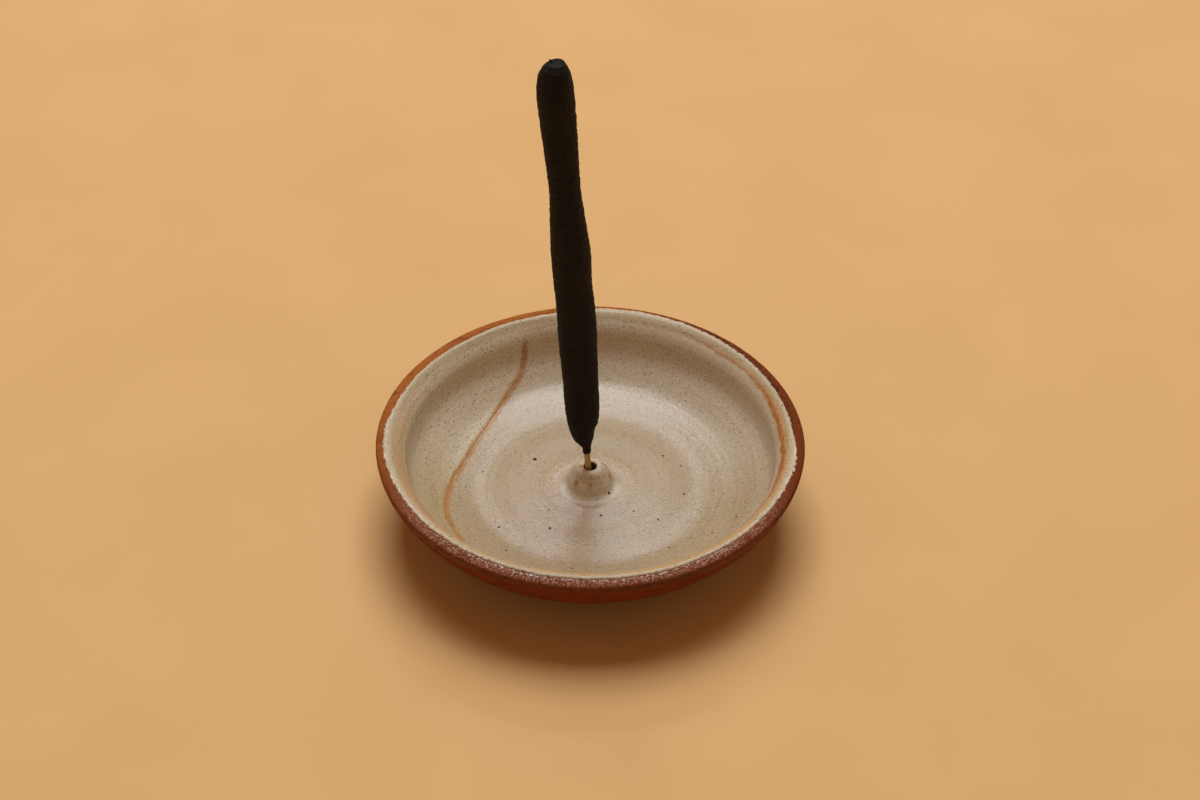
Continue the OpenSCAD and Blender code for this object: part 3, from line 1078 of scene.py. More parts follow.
@dataclass
class ClayDish:
    """The thrown and turned clay dish, and the pellet luted to its floor as a socket."""

    section: DishSection
    clay: ToastedClay = field(default_factory=ToastedClay)
    columns: int = 384
    socket_columns: int = 128
    # Distances between the rows of points
    underside_step: float = 0.55
    foot_step: float = 0.30
    outside_step: float = 0.42
    lip_step: float = 0.28
    hidden_step: float = 1.6
    socket_step: float = 0.5
    mouth_step: float = 0.08
    hole_step: float = 0.4
    # The turning tool's lines, and how far they take to set in and to die out along a run
    turning_depth: float = 0.05
    turning_pitch: float = 1.15
    tool_in: float = 2.0
    tool_out: float = 2.5
    # Dents of the bare clay; on the lip they fade out from an angle above its widest circle
    dent_depth: float = 0.09
    bare_to: float = 40.0
    bare_fade: float = 30.0

    def turned(self, run: Run, step: float, side: Side = Side.PLAIN) -> list[Row]:
        """Steps along a run of the section.

        Args:
            run: The run.
            step: The wanted distance between two points.
            side: What the run belongs to; the turning tool left its lines where it is worked.

        Returns:
            The rows of the profile.
        """
        count = max(2, round(run.length / step))
        rows = []
        for i in range(count + 1):
            along = run.length * i / count
            depth = 0.0
            if side is Side.WORKED:
                ends = (1 - fade(along, self.tool_in)) * (1 - fade(run.length - along, self.tool_out))
                wave = 0.5 - 0.5 * math.cos(math.tau * along / self.turning_pitch)
                waver = noise.noise(Vector((along * 0.45, 3.1, 0)))
                depth = self.turning_depth * ends * (wave + waver)
            point = run.at(along) - run.normal(along) * max(depth, 0.0)
            rows.append(Row(point.x, point.y, along, side))
        return rows

    def profile(self) -> list[Row]:
        """The whole profile, from the middle of the underside round the lip to the bottom of the hole."""
        section = self.section
        hollow_end = section.foot_r - section.foot_w - section.foot_cove
        underside = Run([(0, section.foot_recess), (hollow_end, section.foot_recess)])
        outside = Run(section.outer_wall())
        lip = Run(section.lip(0) + section.flare())
        inside = Run(section.inner_wall() + section.inner_floor())
        rows = [Row(0, section.foot_recess)]
        rows += self.turned(underside, self.underside_step, Side.WORKED)[1:]
        rows += self.turned(Run(section.foot_ring()), self.foot_step)[1:]
        rows += self.turned(outside, self.outside_step, Side.WORKED)
        rows += self.turned(lip, self.lip_step, Side.LIP)[1:]
        rows += self.turned(inside, self.hidden_step)[1:]
        rows += [Row(section.hole_radius(section.seat_h), section.seat_h),
                 Row(section.hole_tip_r, section.hole_h), Row(0, section.hole_h)]
        return without_doubles(rows)

    def build(self) -> bpy.types.Object:
        """Throws the dish, dents its bare clay a little and dresses it."""
        mesh = thrown(self.profile(), self.columns, closed=False)
        side = mesh.verts.layers.float["side"]
        centre = Vector((self.section.crest[0], self.section.belly_h))
        for vert in mesh.verts:
            part = Side(round(vert[side]))
            if part is Side.PLAIN:
                continue
            turn = turn_of(vert.co)
            hollows = 0.5 * noise.noise(vert.co * 0.35) + 0.35 * noise.noise(vert.co * 0.9)
            dent = self.dent_depth * (0.5 + hollows)
            if part is Side.LIP:
                from_centre = Vector((vert.co.xy.length, vert.co.z)) - centre
                angle = math.degrees(math.atan2(from_centre.y, from_centre.x))
                bare = fade(angle - self.bare_to, self.bare_fade)
                inward = -from_centre.normalized()
            else:
                bare = 1 - fade(vert.co.z - self.section.foot_recess, self.tool_in)
                inward = Vector((-0.7, 0.7))
            vert.co += at_turn(inward * max(dent, 0.0) * bare, turn)
        pressed(mesh, self.section)
        return finished(mesh, "clay_dish", "dish", Body.DISH, self.clay.material())

    def build_socket(self) -> bpy.types.Object:
        """Throws the socket, with its pierced hole."""
        section = self.section
        hole_foot = (section.hole_radius(section.seat_h), section.seat_h)
        rows = [Row(*hole_foot), Row(section.seat_r, section.seat_h)]
        rows += self.turned(Run(section.socket()), self.socket_step)
        rows += self.turned(Run(section.mouth_edge()), self.mouth_step)[1:]
        hole = Run([(section.mouth_r, section.mouth_h - section.mouth_round), hole_foot])
        rows += self.turned(hole, self.hole_step)[1:-1]
        mesh = thrown(without_doubles(rows), self.socket_columns, closed=True)
        return finished(mesh, "clay_socket", "stick_socket", Body.DISH,
                        self.clay.socket_material())


@dataclass
class GlazedInside:
    """The liner glaze poured over the inside, and the second coat over its left."""

    section: DishSection
    liner: SpeckledGlaze
    coat: SpeckledGlaze
    # The even liner, with the bead below its edge
    thickness: float = 0.4
    bead_t: float = 0.25
    bead_w: float = 1.3
    edge_w: float = 0.5
    edge_in: float = 0.32
    sunk: float = 0.02
    # The second coat, which thins out towards its top and its edge
    coat_t: float = 0.18
    coat_edge_share: float = 0.45
    coat_drop: float = 2.0
    coat_taper: float = 4.0
    # How the liner's edge strays: in broad waves, in teeth and in fine notches
    stray_reach: float = 3.0
    stray_broad: float = 0.16
    stray_teeth: float = 0.55
    stray_fine: float = 0.22
    # How the glaze pools, and the grooves left by the fingers, which end before the socket
    pool_depth: float = 0.035
    finger_depth: float = 0.007
    finger_pitch: float = 2.7
    finger_end: float = 13.0
    finger_fade: float = 3.0
    # How fine the meshes are; next to the liner's edge its columns are cut once more
    columns: int = 384
    finer: int = 3
    finer_w: float = 1.8
    bead_step: float = 0.45
    bead_rows: int = 11
    wall_step: float = 0.62
    socket_run: float = 12.0
    socket_step: float = 0.4
    coat_columns: int = 300
    coat_rows: int = 56
    wall_r: float = 50.0
    search_steps: int = 24
    # By direction: how far inside the lip's crest the glaze ends, how ragged it is there, and its soot
    # and its chips
    edge_places: Table = (
        (-90, -0.60, 0.9, 0.3, 0.3), (-60, -0.50, 0.9, 0.0, 0.3), (-46, -0.35, 0.9, 0.0, 0.4),
        (-28, -0.05, 1.0, 0.0, 0.7), (-17, -0.45, 1.5, 0.0, 1.0), (-8, -0.40, 1.5, 0.0, 1.0),
        (0, 0.50, 0.9, 0.2, 0.6), (16, 0.80, 0.8, 0.8, 0.2), (30, 0.60, 0.8, 1.0, 0.1),
        (45, 0.35, 0.8, 1.0, 0.1), (58, 0.00, 0.9, 1.0, 0.3), (72, 0.00, 0.8, 0.6, 0.5),
        (88, 0.10, 0.7, 0.2, 0.4), (103, 0.95, 0.4, 0.1, 0.2), (117, 1.00, 0.4, 0.0, 0.1),
        (125, 1.15, 0.4, 0.0, 0.0), (134, 1.10, 0.4, 0.1, 0.1), (148, 0.90, 0.6, 0.1, 0.2),
        (160, 0.90, 0.8, 0.1, 0.3), (170, 0.55, 1.0, 0.1, 0.7), (177, -0.10, 1.1, 0.1, 1.0),
        (187, -0.50, 1.2, 0.0, 1.0), (201, -0.15, 1.2, 0.0, 1.0), (218, -0.20, 1.1, 0.0, 0.8),
        (246, -0.35, 0.9, 0.1, 0.4), (270, -0.60, 0.9, 0.3, 0.3))
    # By direction: how wide the cream is, where the tan below it ends, how strong it is, how strong and
    # wide the ochre along its end is, and how strongly painted fill light lightens the glaze on the wall
    zone_places: Table = (
        (-90, 0.7, 5.0, 0.90, 0.20, 1.6, 0.5), (-60, 0.7, 5.0, 0.95, 0.30, 1.6, 0.5),
        (-40, 0.8, 5.0, 1.0, 0.60, 1.8, 0.5), (-20, 1.2, 4.6, 1.0, 1.0, 2.2, 0.45),
        (-9, 1.6, 4.9, 1.0, 1.0, 2.1, 0.45), (2, 1.6, 5.2, 1.0, 1.0, 2.3, 0.48),
        (12, 1.6, 5.0, 1.0, 1.0, 2.1, 0.5), (20, 1.9, 4.6, 1.0, 0.90, 1.8, 0.5),
        (29, 2.2, 4.4, 0.80, 0.62, 1.5, 0.56), (45, 2.4, 4.3, 0.70, 0.52, 1.2, 0.58),
        (60, 2.6, 3.9, 0.45, 0.44, 0.9, 0.46), (72, 3.0, 3.5, 0.32, 0.40, 0.7, 0.40),
        (86, 2.8, 3.2, 0.20, 0.35, 0.6, 0.3), (98, 2.9, 4.4, 0.15, 0.35, 0.8, 0.3),
        (108, 3.2, 5.2, 0.15, 0.35, 0.9, 0.45), (120, 4.0, 5.4, 0.08, 0.05, 1.2, 0.62),
        (135, 4.2, 5.6, 0.08, 0.0, 1.6, 0.60), (150, 3.8, 6.0, 0.15, 0.05, 2.0, 0.55),
        (165, 2.8, 6.2, 0.28, 0.10, 2.6, 0.40), (185, 1.8, 6.4, 0.52, 0.18, 3.2, 0.30),
        (205, 1.4, 6.4, 0.85, 0.35, 3.4, 0.3), (225, 1.2, 6.0, 0.90, 0.40, 3.0, 0.3),
        (245, 0.9, 5.2, 0.90, 0.25, 2.0, 0.5), (270, 0.7, 5.0, 0.90, 0.20, 1.6, 0.5))
    # The second coat's edge: how far from the axis it runs, by direction
    coat_edge: Table = (
        (109.5, 57.6), (111.8, 56.9), (112.5, 54.4), (115.4, 50.4), (120.2, 47.8), (129.4, 43.8),
        (140.7, 40.7), (154.5, 39.2), (167.0, 39.1), (179.2, 40.9), (190.9, 43.0), (199.3, 44.4),
        (207.7, 45.0), (215.2, 45.4), (222.0, 47.2), (229.0, 51.0), (234.5, 57.0))

    def __post_init__(self) -> None:
        """Measures the clay that the glaze covers."""
        section = self.section
        rounded_mouth = section.mouth_edge()[:section.curve_steps // 2]
        self.clay = Run(section.lip(50) + section.flare() + section.inner_wall() + section.inner_floor()
                        + section.socket() + rounded_mouth)
        self.crest = self.clay.distance_of(section.crest)
        self.edge_at = self.crest + self.edge_in
        self.reach = self.clay.length - self.edge_at
        self.top_at = self.edge_at + self.bead_w + self.coat_drop
        self.wall_end = self.clay.distance_of((section.trough_r, section.floor_height(section.trough_r)))
        self.edge_mean, self.edge_rough, self.edge_soot, self.edge_chips = (
            Round.through(self.edge_places, column) for column in range(1, 5))
        self.cream_w, self.tan_end, self.tan_share, self.ochre_share, self.ochre_w, self.painted_fill_share = (
            Round.through(self.zone_places, column) for column in range(1, 7))
        self.coat_away = Curve(self.coat_edge)
        self.stray = Round(lambda degrees: self.strayed(math.radians(degrees)))
        self.coat_ends = Round(self.coat_reach)

    def rounded(self, from_edge: float) -> float:
        """Share of its thickness that a glaze has at a distance from its edge."""
        return math.sqrt(1 - (1 - min(max(from_edge, 0.0) / self.edge_w, 1)) ** 2)

    def strayed(self, turn: float) -> float:
        """How far the glaze's real edge lies inside its even one, at a direction."""
        mean = self.edge_mean.at(turn) - (self.edge_at - self.crest)
        rough = self.edge_rough.at(turn)
        rim = Vector((math.cos(turn), math.sin(turn), 0)) * self.section.dish_r
        broad = noise.noise(rim * 0.11 + Vector((0, 0, 4.7)))
        teeth = 0.5 - abs(noise.noise(rim * 0.42))
        fine = noise.noise(rim * 1.3 + Vector((0, 0, 9.1)))
        torn = self.stray_teeth * (teeth - 0.25) + self.stray_fine * fine
        return mean + self.stray_broad * broad + rough * torn

    def unevenness(self, place: Vector, along: float) -> float:
        """How much thicker the glaze lies at a place than its even coat, in millimetres."""
        pooled = self.pool_depth * noise.noise(place * 0.09) + 0.02 * noise.noise(place * 0.35)
        finger = self.finger_depth * math.sin(math.tau * along / self.finger_pitch + turn_of(place))
        finger += 0.004 * math.sin(math.tau * along / 1.1)
        return pooled + finger * fade(along - (self.reach - self.finger_end), self.finger_fade)

    def depth(self, reach: float) -> float:
        """Thickness of the even liner at a distance from its edge."""
        ends = self.rounded(reach)
        bead = self.bead_t * ends * math.exp(-((reach / self.bead_w - 1) ** 2))
        return self.thickness * ends * self.rounded(self.reach - reach) + bead

    def strayed_to(self, turn: float, reach: float) -> float:
        """How far along the clay a distance from the even edge lies, where the edge has strayed."""
        return self.edge_at + reach + self.stray.at(turn) * fade(reach, self.stray_reach)

    def face(self, turn: float, reach: float) -> Vector:
        """Place on the liner's face, at a direction and a distance from its even edge."""
        along = self.strayed_to(turn, reach)
        foot = self.clay.at(along)
        even = self.depth(reach)
        bump = self.unevenness(at_turn(foot, turn), reach) * min(even / self.thickness, 1.0)
        return at_turn(foot + self.clay.normal(along) * (even + bump), turn)

    def face_reaches(self) -> list[float]:
        """Distances of the liner's rows from its edge: close together at both ends and on the socket."""
        near = [0, 0.04, 0.1, 0.18, 0.28, 0.4, 0.55, 0.72, 0.92, 1.15, 1.42, 1.75, 2.15, 2.6]
        ring = [near[-1] + self.bead_step * i for i in range(1, self.bead_rows + 1)]
        socket_start = self.reach - self.socket_run
        steps = round((socket_start - ring[-1]) / self.wall_step)
        middle = [ring[-1] + (socket_start - ring[-1]) * i / steps for i in range(1, steps + 1)]
        end = [self.reach - d for d in (0.72, 0.5, 0.32, 0.18, 0.08, 0)]
        steps = round((end[0] - socket_start) / self.socket_step)
        socket = [socket_start + (end[0] - socket_start) * i / steps for i in range(1, steps)]
        return near + ring + middle + socket + end

    def build_liner(self) -> bpy.types.Object:
        """Pours the liner, gives it its ragged edge, and marks it for its finish."""
        face = self.face_reaches()
        back = face[-2:0:-3]
        rows = []
        for reach in face:
            along = self.edge_at + reach
            point = self.clay.at(along) + self.clay.normal(along) * self.depth(reach)
            rows.append(Row(point.x, point.y, reach, Side.WORKED))
        for reach in back:
            point = self.clay.at(self.edge_at + reach)
            rows.append(Row(point.x, point.y, reach))
        mesh = thrown(rows, self.columns, closed=True)
        reach, side = mesh.verts.layers.float["reach"], mesh.verts.layers.float["side"]
        band = [edge for edge in mesh.edges if edge.verts[0][reach] < self.finer_w
                and all(abs(edge.verts[0][kept] - edge.verts[1][kept]) < SAME_POINT
                        for kept in (reach, side))]
        bmesh.ops.subdivide_edges(mesh, edges=band, cuts=self.finer, use_grid_fill=True)
        for vert in mesh.verts:
            turn = turn_of(vert.co)
            if Side(round(vert[side])) is Side.WORKED:
                vert.co = self.face(turn, vert[reach])
            else:
                along = self.strayed_to(turn, vert[reach])
                vert.co = at_turn(self.clay.at(along) - self.clay.normal(along) * self.sunk, turn)
        bmesh.ops.recalc_face_normals(mesh, faces=mesh.faces)
        self.mark(mesh)
        pressed(mesh, self.section)
        return finished(mesh, "liner_glaze_dressed", "liner_glaze", Body.DISH,
                        self.liner.material())

    def coat_reach(self, degrees: float) -> float:
        """Distance of the second coat's edge from the liner's even edge, at a direction."""
        away = self.coat_away.at(degrees)
        low, high = self.edge_at, self.wall_end
        for _ in range(self.search_steps):
            middle = (low + high) / 2
            low, high = (middle, high) if self.clay.at(middle).x > away else (low, middle)
        return max(low - self.edge_at, self.top_at - self.edge_at)

    def coat_line(self, step: float = 0.15) -> list[Vector]:
        """Places along the second coat's edge."""
        start, end = self.coat_edge[0][0], self.coat_edge[-1][0]
        count = round(math.radians(end - start) * self.wall_r / step)
        turns = [math.radians(start + (end - start) * i / count) for i in range(count + 1)]
        return [self.face(turn, self.coat_ends.at(turn)) for turn in turns]

    def mark(self, mesh: bmesh.types.BMesh) -> None:
        """Keeps at each point of a glaze what its finish reads.

        Args:
            mesh: The glaze's mesh, with the distance from the liner's edge in its layer reach.
        """
        reach = mesh.verts.layers.float["reach"]
        names = ("cream", "tan", "ochre", "khaki", "pale", "chips", "soot", "line_mm", "line_share")
        cream, tan, ochre, khaki, pale, chips, soot, line, line_share = (
            mesh.verts.layers.float.new(name) for name in names)
        to_line = nearest_to(self.coat_line())
        first, last = self.coat_edge[0][0], self.coat_edge[-1][0]
        for vert in mesh.verts:
            turn, from_edge = turn_of(vert.co), vert[reach]
            degrees = math.degrees(turn) % 360
            below = self.strayed_to(turn, from_edge) - self.crest
            # The borders of the zones wander by up to a millimetre
            lobes = 0.55 * noise.noise(vert.co * 0.16) + 0.45 * noise.noise(vert.co * 0.55)
            end, width = self.tan_end.at(turn) + lobes, self.ochre_w.at(turn)
            above = fade(below - end + 0.25, 0.6)
            # The cream lies next to the edge, the tan below it, and the ochre along the end of the tan
            cream_w = self.cream_w.at(turn)
            vert[cream] = fade(from_edge - 0.6 * cream_w - 0.3 * lobes, cream_w)
            vert[tan] = self.tan_share.at(turn) * above
            vert[ochre] = self.ochre_share.at(turn) * above * (1 - fade(below - end + width, 0.5 * width))
            # Painted fill light: a pale band from about 2 mm below the crest, fading out below 10.5 mm
            vert[pale] = self.painted_fill_share.at(turn) * (1 - fade(below - 1.8, 2.5)) * fade(below - 10.5, 14.0)
            # Chips and soot lie within a millimetre of the edge
            vert[chips] = self.edge_chips.at(turn) * fade(from_edge - 0.25, 0.45)
            vert[soot] = self.edge_soot.at(turn) * fade(from_edge - 0.15, 0.55)
            # Inside the second coat the distance from its edge is negative, and the glaze more yellow
            on_coat = first < degrees < last and from_edge < self.coat_ends.at(turn)
            vert[line] = to_line(vert.co) * (-1 if on_coat else 1)
            vert[line_share] = 1 - fade(below - 6.0, 3.5)
            inside_ends = 1 - fade(min(degrees - first, last - degrees), 5.0)
            vert[khaki] = (1 - fade(below - 1.4, 3.6)) * inside_ends * on_coat

    def build_coat(self) -> bpy.types.Object:
        """Lays the second coat as a thin pillow over the liner's left wall."""
        start, end = self.coat_edge[0][0], self.coat_edge[-1][0]
        mesh = bmesh.new()
        bmesh.ops.create_grid(mesh, x_segments=self.coat_columns, y_segments=self.coat_rows, size=1)
        reach = mesh.verts.layers.float.new("reach")
        top = self.top_at - self.edge_at
        for vert in mesh.verts:
            across = crowded((vert.co.x + 1) / 2, 0.3)
            down = crowded((vert.co.y + 1) / 2, 0.5)
            turn = math.radians(start + (end - start) * across)
            vert[reach] = top + (self.coat_ends.at(turn) - top) * down
            vert.co = self.face(turn, vert[reach])
        to_rim = nearest_to([vert.co.copy() for vert in mesh.verts if vert.is_boundary])
        under = mesh.verts[:]
        made = bmesh.ops.extrude_face_region(mesh, geom=mesh.faces[:], use_keep_orig=True)
        upper = [item for item in made["geom"] if isinstance(item, bmesh.types.BMVert)]
        for vert in under:
            turn = turn_of(vert.co)
            vert.co = vert.co - self.outward(turn, vert[reach]) * self.sunk * 2
        for vert in upper:
            turn = turn_of(vert.co)
            grown = 1 - fade(vert[reach] - top, self.coat_taper)
            full = self.coat_t * self.rounded(to_rim(vert.co) * self.coat_edge_share)
            depth = full * grown - self.sunk
            vert.co = vert.co + self.outward(turn, vert[reach]) * depth
        bmesh.ops.remove_doubles(mesh, verts=mesh.verts, dist=SAME_POINT)
        bmesh.ops.recalc_face_normals(mesh, faces=mesh.faces)
        self.mark(mesh)
        pressed(mesh, self.section)
        return finished(mesh, "second_coat", "overlap_glaze", Body.DISH,
                        self.coat.material())

    def outward(self, turn: float, reach: float) -> Vector:
        """Direction out of the glaze's face, at a direction and a distance from its even edge."""
        return at_turn(self.clay.normal(self.edge_at + reach), turn)


@dataclass
class IncenseStick:
    """The bamboo core and the charcoal paste rolled onto it, leaning in the hole."""

    section: DishSection
    core_r: float = 0.93
    bare_len: float = 4.2
    paste_t: float = 4.2
    paste_len: float = 134.8
    tip_cover: float = 1.6
    nib_h: float = 0.8
    neck_rise: float = 1.7
    touch_gap: float = 0.28
    end_gap: float = 0.15
    mouth_room: float = 0.92
    lump_share: float = 0.03
    lump_len_share: float = 0.4
    crumb_depth: float = 0.16
    neck_share: float = 0.04
    # How fine the paste's mesh is, along its side and over its tip
    sides: int = 120
    rings: int = 560
    top_rings: int = 22
    # The sawn core: its mesh, its corners, its flats and its fibres
    core_sides: int = 48
    core_rows: int = 150
    core_corner: float = 0.12
    flat_depth: float = 0.03
    fibre_depth: float = 0.02
    # The tip: a nib at one side of a slanting hollow
    nib_place: Point = (-1.26, 0.84)
    nib_r: float = 0.62
    tip_hollow: float = 0.28
    tip_slant: float = 0.14
    # Along the paste, as a share of its length: how thick it is and how far off the core's axis, as
    # shares of its thickness
    shape: Table = (
        (0, 0.07, 0), (0.02, 0.09, 0), (0.034, 0.17, -0.03), (0.057, 0.48, -0.17), (0.08, 0.64, -0.18),
        (0.102, 0.82, -0.1), (0.146, 0.94, -0.05), (0.212, 0.98, 0), (0.3, 1.08, 0), (0.352, 1.09, 0.02),
        (0.411, 1.04, 0.02), (0.47, 1, -0.02), (0.543, 1.05, 0.04), (0.617, 0.96, 0.03),
        (0.705, 0.81, -0.02), (0.794, 0.85, -0.08), (0.867, 0.9, -0.11), (0.934, 0.92, -0.11),
        (0.972, 0.79, -0.07), (0.99, 0.56, -0.01), (1, 0.33, 0.07))

    def __post_init__(self) -> None:
        """Draws the curves of the paste's thickness and of how far it lies off the core's axis."""
        self.thickness = Curve(self.shape, 1)
        self.shift = Curve(self.shape, 2)

    @property
    def stick_h(self) -> float:
        """Height of the stick's lower end."""
        return self.section.hole_h + self.end_gap

    @property
    def lean(self) -> float:
        """How far the stick leans to the left, in radians."""
        return math.atan((self.mouth_room - self.touch_gap) / (self.section.mouth_h - self.stick_h))

    @property
    def held_len(self) -> float:
        """Length of the stick inside the hole."""
        return (self.section.mouth_h - self.stick_h) / math.cos(self.lean)

    @property
    def core_len(self) -> float:
        """Length of the bamboo core."""
        return self.held_len + self.bare_len + self.paste_len - self.tip_cover

    def in_the_hole(self) -> Matrix:
        """Stands the stick in the hole, leaning against the left of the mouth."""
        return Matrix.Translation((0, 0, self.stick_h)) @ Matrix.Rotation(-self.lean, 4, "Y")

    def build_core(self) -> bpy.types.Object:
        """Saws the core: a thin rod with faint flats, its lower end cut square."""
        length, corner = self.core_len, self.core_corner
        heights = [corner + (length - 2 * corner) * i / self.core_rows for i in range(self.core_rows + 1)]
        rows = [Row(0, 0), Row(self.core_r - corner, 0)]
        rows += [Row(self.core_r, height) for height in heights]
        rows += [Row(self.core_r - corner, length), Row(0, length)]
        mesh = thrown(rows, self.core_sides, closed=False)
        for vert in mesh.verts:
            turn = turn_of(vert.co)
            flats = self.flat_depth * abs(math.sin(2.5 * turn))
            across = Vector((6 * math.cos(turn), 6 * math.sin(turn), vert.co.z * 0.06))
            fibres = self.fibre_depth * (0.5 + 0.5 * noise.noise(across))
            vert.co.xy *= 1 - flats - fibres
        bmesh.ops.transform(mesh, matrix=self.in_the_hole(), verts=mesh.verts)
        finish = SplitBamboo(lean=self.lean)
        return finished(mesh, "bamboo_stick_core", "bamboo_core", Body.STICK, finish.material())

    def paste_place(self, along: float, turn: float) -> Vector:
        """Place on the side of the paste, at a share of its length and a direction in radians."""
        twist = math.tau * along / self.lump_len_share
        lump = self.lump_share * (math.sin(2 * turn + twist) + math.cos(3 * turn - twist))
        radius = self.core_r + self.paste_t * self.thickness.at(along) * (1 + lump)
        sideways = self.paste_t * self.shift.at(along)
        height = self.paste_len * along + self.neck_rise * fade(along, self.neck_share)
        return Vector((sideways + radius * math.cos(turn), radius * math.sin(turn), height))

    def crumbs(self, place: Vector, along: float) -> float:
        """How far the granular surface lies below the rolled shape, in millimetres."""
        coarse = noise.noise(Vector((place.x * 0.55, place.y * 0.55, place.z * 0.8)))
        ridges = noise.noise(Vector((place.x * 0.25, place.y * 0.25, place.z * 1.9)) + Vector((7, 0, 0)))
        grains = noise.noise(place * 1.7) + 0.5 * noise.noise(place * 2.9)
        hold = 1 - 0.75 * fade(along, 0.03)
        return self.crumb_depth * hold * (0.9 * coarse + 0.7 * ridges + 0.5 * grains - 0.2)

    def top_place(self, inward: float, turn: float) -> Vector:
        """Place on the tip's flat top, from its rim at 0 to its middle at 1."""
        rim = self.paste_place(1.0, turn)
        middle = Vector((self.paste_t * self.shift.at(1.0), 0, self.paste_len))
        place = rim.lerp(middle, inward)
        near = math.exp(-((place.xy - Vector(self.nib_place)).length / self.nib_r) ** 2)
        hollow = -self.tip_hollow * math.sin(math.pi * min(inward * 1.4, 1.0) / 2)
        slant = -self.tip_slant * (place.x - middle.x)
        nib = (self.nib_h + 0.05) * near * (1 - fade(inward, 0.25))
        place.z += hollow + slant * (1 - fade(inward, 0.4)) + nib
        return place

    def build_paste(self) -> bpy.types.Object:
        """Rolls the paste: a tube from its neck up, closed over the tip and bored for the core."""
        mesh = bmesh.new()
        bmesh.ops.create_grid(mesh, x_segments=self.sides, y_segments=self.rings + self.top_rings, size=1)
        side_share = self.rings / (self.rings + self.top_rings)
        bottom = []
        for vert in mesh.verts:
            turn, up = math.pi * (vert.co.x + 1), (vert.co.y + 1) / 2
            if up < SAME_POINT:
                bottom.append(vert)
            if up <= side_share + SAME_POINT:
                along = crowded(min(up / side_share, 1.0), 0.35)
                place = self.paste_place(along, turn)
                axis = Vector((self.paste_t * self.shift.at(along), 0, place.z))
                vert.co = place - (place - axis).normalized() * self.crumbs(place, along)
            else:
                inward = (up - side_share) / (1 - side_share)
                place = self.top_place(inward, turn)
                place.z -= 0.6 * self.crumbs(place, 1.0)
                vert.co = place
        bmesh.ops.remove_doubles(mesh, verts=mesh.verts, dist=1e-3)
        mouth = [edge for edge in mesh.edges if edge.is_boundary]
        for height in (self.neck_rise, self.paste_len - self.tip_cover):
            made = bmesh.ops.extrude_edge_only(mesh, edges=mouth)
            ring = [item for item in made["geom"] if isinstance(item, bmesh.types.BMVert)]
            mouth = [item for item in made["geom"] if isinstance(item, bmesh.types.BMEdge)]
            for vert in ring:
                turn = turn_of(vert.co)
                vert.co = at_turn(Vector((self.core_r, height)), turn)
        bmesh.ops.contextual_create(mesh, geom=mouth)
        bmesh.ops.recalc_face_normals(mesh, faces=mesh.faces)
        bmesh.ops.translate(mesh, vec=(0, 0, self.held_len + self.bare_len), verts=mesh.verts)
        bmesh.ops.transform(mesh, matrix=self.in_the_hole(), verts=mesh.verts)
        finish = CharcoalPaste(lean=self.lean)
        return finished(mesh, "rolled_paste", "incense_paste", Body.STICK,
                        finish.material())


class Panel(NamedTuple):
    """A soft panel lamp that faces the dish: degrees behind the vertical, distance and size in metres."""

    name: str
    behind: float
    distance: float
    size: tuple[float, float]
    power: float
    colour: Colour


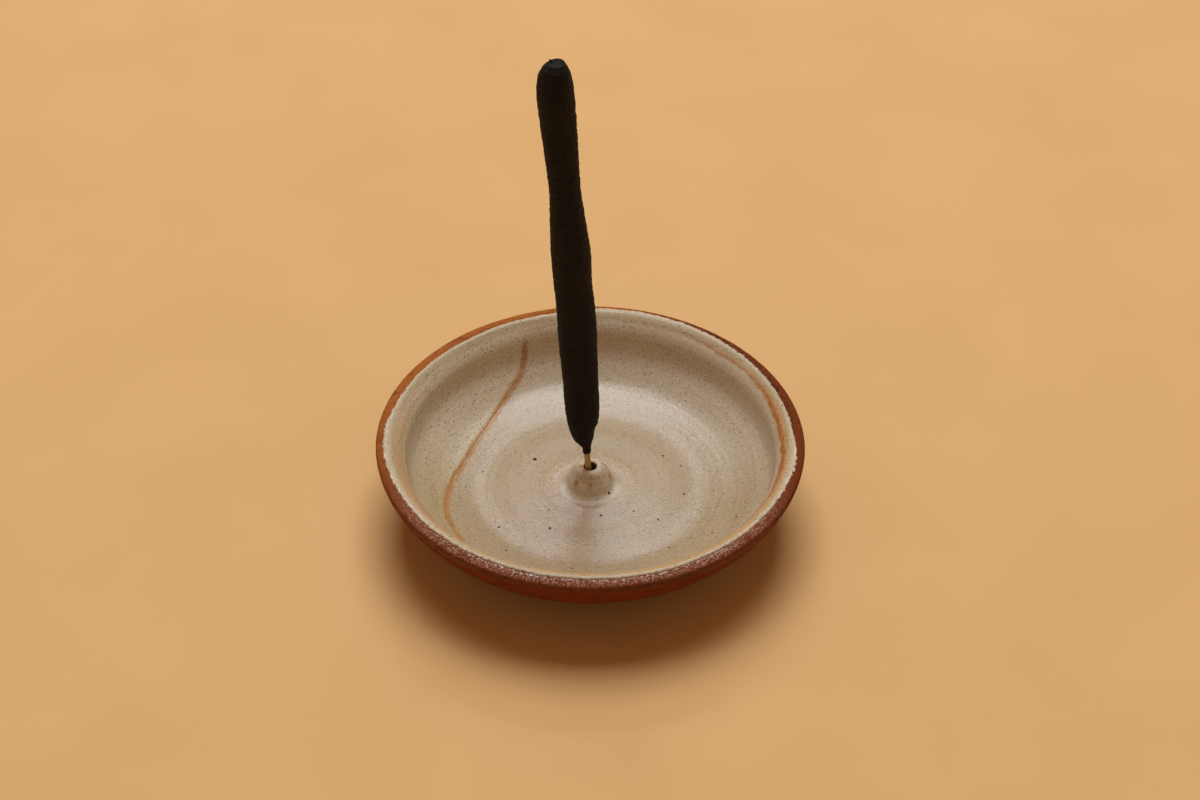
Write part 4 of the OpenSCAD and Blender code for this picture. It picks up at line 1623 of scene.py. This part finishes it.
@dataclass(frozen=True)
class Studio:
    """The pale paper, the soft light and the camera, with lengths in metres and angles in degrees."""

    section: DishSection
    paper_half: float = 2.0
    room_low: Colour = (1.0, 0.74, 0.46)
    room_high: Colour = (1.0, 0.46, 0.18)
    room_level: float = 0.34
    room_band: Point = (0.25, 0.85)
    room_shares: Point = (1.25, 0.70)
    backdrop: Colour = shade(217, 174, 118)
    sky: Panel = Panel("sky_panel", behind=19, distance=2.5, size=(1.5, 1.45), power=53,
                       colour=(0.84, 0.91, 0.96))
    window: Panel = Panel("window_panel", behind=44.5, distance=2.5, size=(0.85, 0.22), power=9,
                          colour=(0.84, 0.91, 1.0))
    lens: float = 72.0
    sensor_w: float = 36.0
    distance: float = 0.7
    elevation: float = 41.0
    pitch: float = 0.929
    yaw: float = -0.222
    roll: float = 0.401

    def lay_paper(self) -> bpy.types.Object:
        """Lays the paper that the dish stands on."""
        mesh = bmesh.new()
        bmesh.ops.create_grid(mesh, x_segments=1, y_segments=1, size=self.paper_half)
        data = bpy.data.meshes.new("paper")
        mesh.to_mesh(data)
        mesh.free()
        data.materials.append(PalePaper().material())
        paper = bpy.data.objects.new("paper", data)
        bpy.context.scene.collection.objects.link(paper)
        return paper

    def hang(self, lamp_panel: Panel) -> bpy.types.Object:
        """Hangs one soft panel, facing the dish."""
        lamp = bpy.data.lights.new(lamp_panel.name, "AREA")
        lamp.shape = "RECTANGLE"
        lamp.size, lamp.size_y = lamp_panel.size
        lamp.energy = lamp_panel.power
        lamp.color = lamp_panel.colour
        panel = bpy.data.objects.new(lamp_panel.name, lamp)
        behind = Matrix.Rotation(-math.radians(lamp_panel.behind), 4, "X")
        panel.matrix_world = behind @ Matrix.Translation((0, 0, lamp_panel.distance))
        bpy.context.scene.collection.objects.link(panel)
        return panel

    def fill_world(self) -> None:
        """Fills the room with the warm light that the paper throws back, and shows paper beyond it."""
        world = bpy.data.worlds.new("pale_room")
        bpy.context.scene.world = world
        world.use_nodes = True
        recipe = Recipe(world.node_tree)
        camera = recipe.node("ShaderNodeLightPath", output="Is Camera Ray")
        _, _, up = recipe.parts(recipe.node("ShaderNodeTexCoord", output="Object"))
        room = recipe.blend(self.room_low, self.room_high, up.climb(*self.room_band))
        strength = up.climb(*self.room_band, *(share * self.room_level for share in self.room_shares))
        even = recipe.node("ShaderNodeBackground", inputs={"Color": room, "Strength": strength})
        seen = recipe.node("ShaderNodeBackground", inputs={"Color": self.backdrop, "Strength": 1.0})
        both = recipe.node("ShaderNodeMixShader", inputs={
            "Fac": camera, "Shader": even, "Shader_001": seen})
        recipe.node("ShaderNodeOutputWorld", inputs={"Surface": both})

    def place_camera(self) -> bpy.types.Object:
        """Places the camera at the photograph's viewing angle."""
        data = bpy.data.cameras.new("photo_camera")
        data.lens = self.lens
        data.sensor_width = self.sensor_w
        camera = bpy.data.objects.new("photo_camera", data)
        bpy.context.scene.collection.objects.link(camera)
        up = math.radians(self.elevation)
        aim_at = Vector((0, 0, self.section.belly_h * MM))
        place = Vector((0, -math.cos(up), math.sin(up))) * self.distance + aim_at
        aimed = Matrix.Rotation(math.pi / 2 - up, 4, "X")
        for angle, axis in ((self.pitch, "X"), (self.yaw, "Y"), (self.roll, "Z")):
            aimed = aimed @ Matrix.Rotation(math.radians(angle), 4, axis)
        camera.matrix_world = Matrix.Translation(place) @ aimed
        bpy.context.scene.camera = camera
        return camera

    def build(self) -> None:
        """Sets up the paper, the light, the camera and how colours are shown."""
        self.lay_paper()
        self.hang(self.sky)
        self.hang(self.window)
        self.fill_world()
        self.place_camera()
        bpy.context.scene.view_settings.view_transform = "Standard"


def report(piece: bpy.types.Object, node: str) -> None:
    """Logs how large a piece is and how far its box lies from that of the node it replaces.

    Args:
        piece: The finished piece.
        node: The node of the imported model.
    """
    places = [vert.co for vert in piece.data.vertices]
    low = Vector(min(place[i] for place in places) for i in range(3))
    high = Vector(max(place[i] for place in places) for i in range(3))
    node_low, node_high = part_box(node)
    out = max(max(node_low - low), max(high - node_high)) / MM
    triangles = sum(len(face.vertices) - 2 for face in piece.data.polygons)
    LOG.info("%s: %d triangles, %.3f mm outside the box of %s", piece.name, triangles, out, node)


def main() -> None:
    """Builds the dish, its glazes, the stick and the studio."""
    logging.basicConfig(level=logging.INFO, format="%(name)s: %(message)s")
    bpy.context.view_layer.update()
    section = DishSection()
    dish = ClayDish(section)
    report(dish.build(), "dish")
    report(dish.build_socket(), "stick_socket")
    liner = SpeckledGlaze("liner_glaze_finish", specks=IRON_SPECKS, rusty=RUSTY_SPOTS)
    # The second coat's pale colour is painted fill light, as on the liner
    coat = SpeckledGlaze("second_coat_finish", pale=shade(214, 199, 168), dustiness=0.46)
    inside = GlazedInside(section, liner, coat)
    report(inside.build_liner(), "liner_glaze")
    report(inside.build_coat(), "overlap_glaze")
    stick = IncenseStick(section)
    report(stick.build_core(), "bamboo_core")
    report(stick.build_paste(), "incense_paste")
    Studio(section).build()


if __name__ == "__main__":
    main()
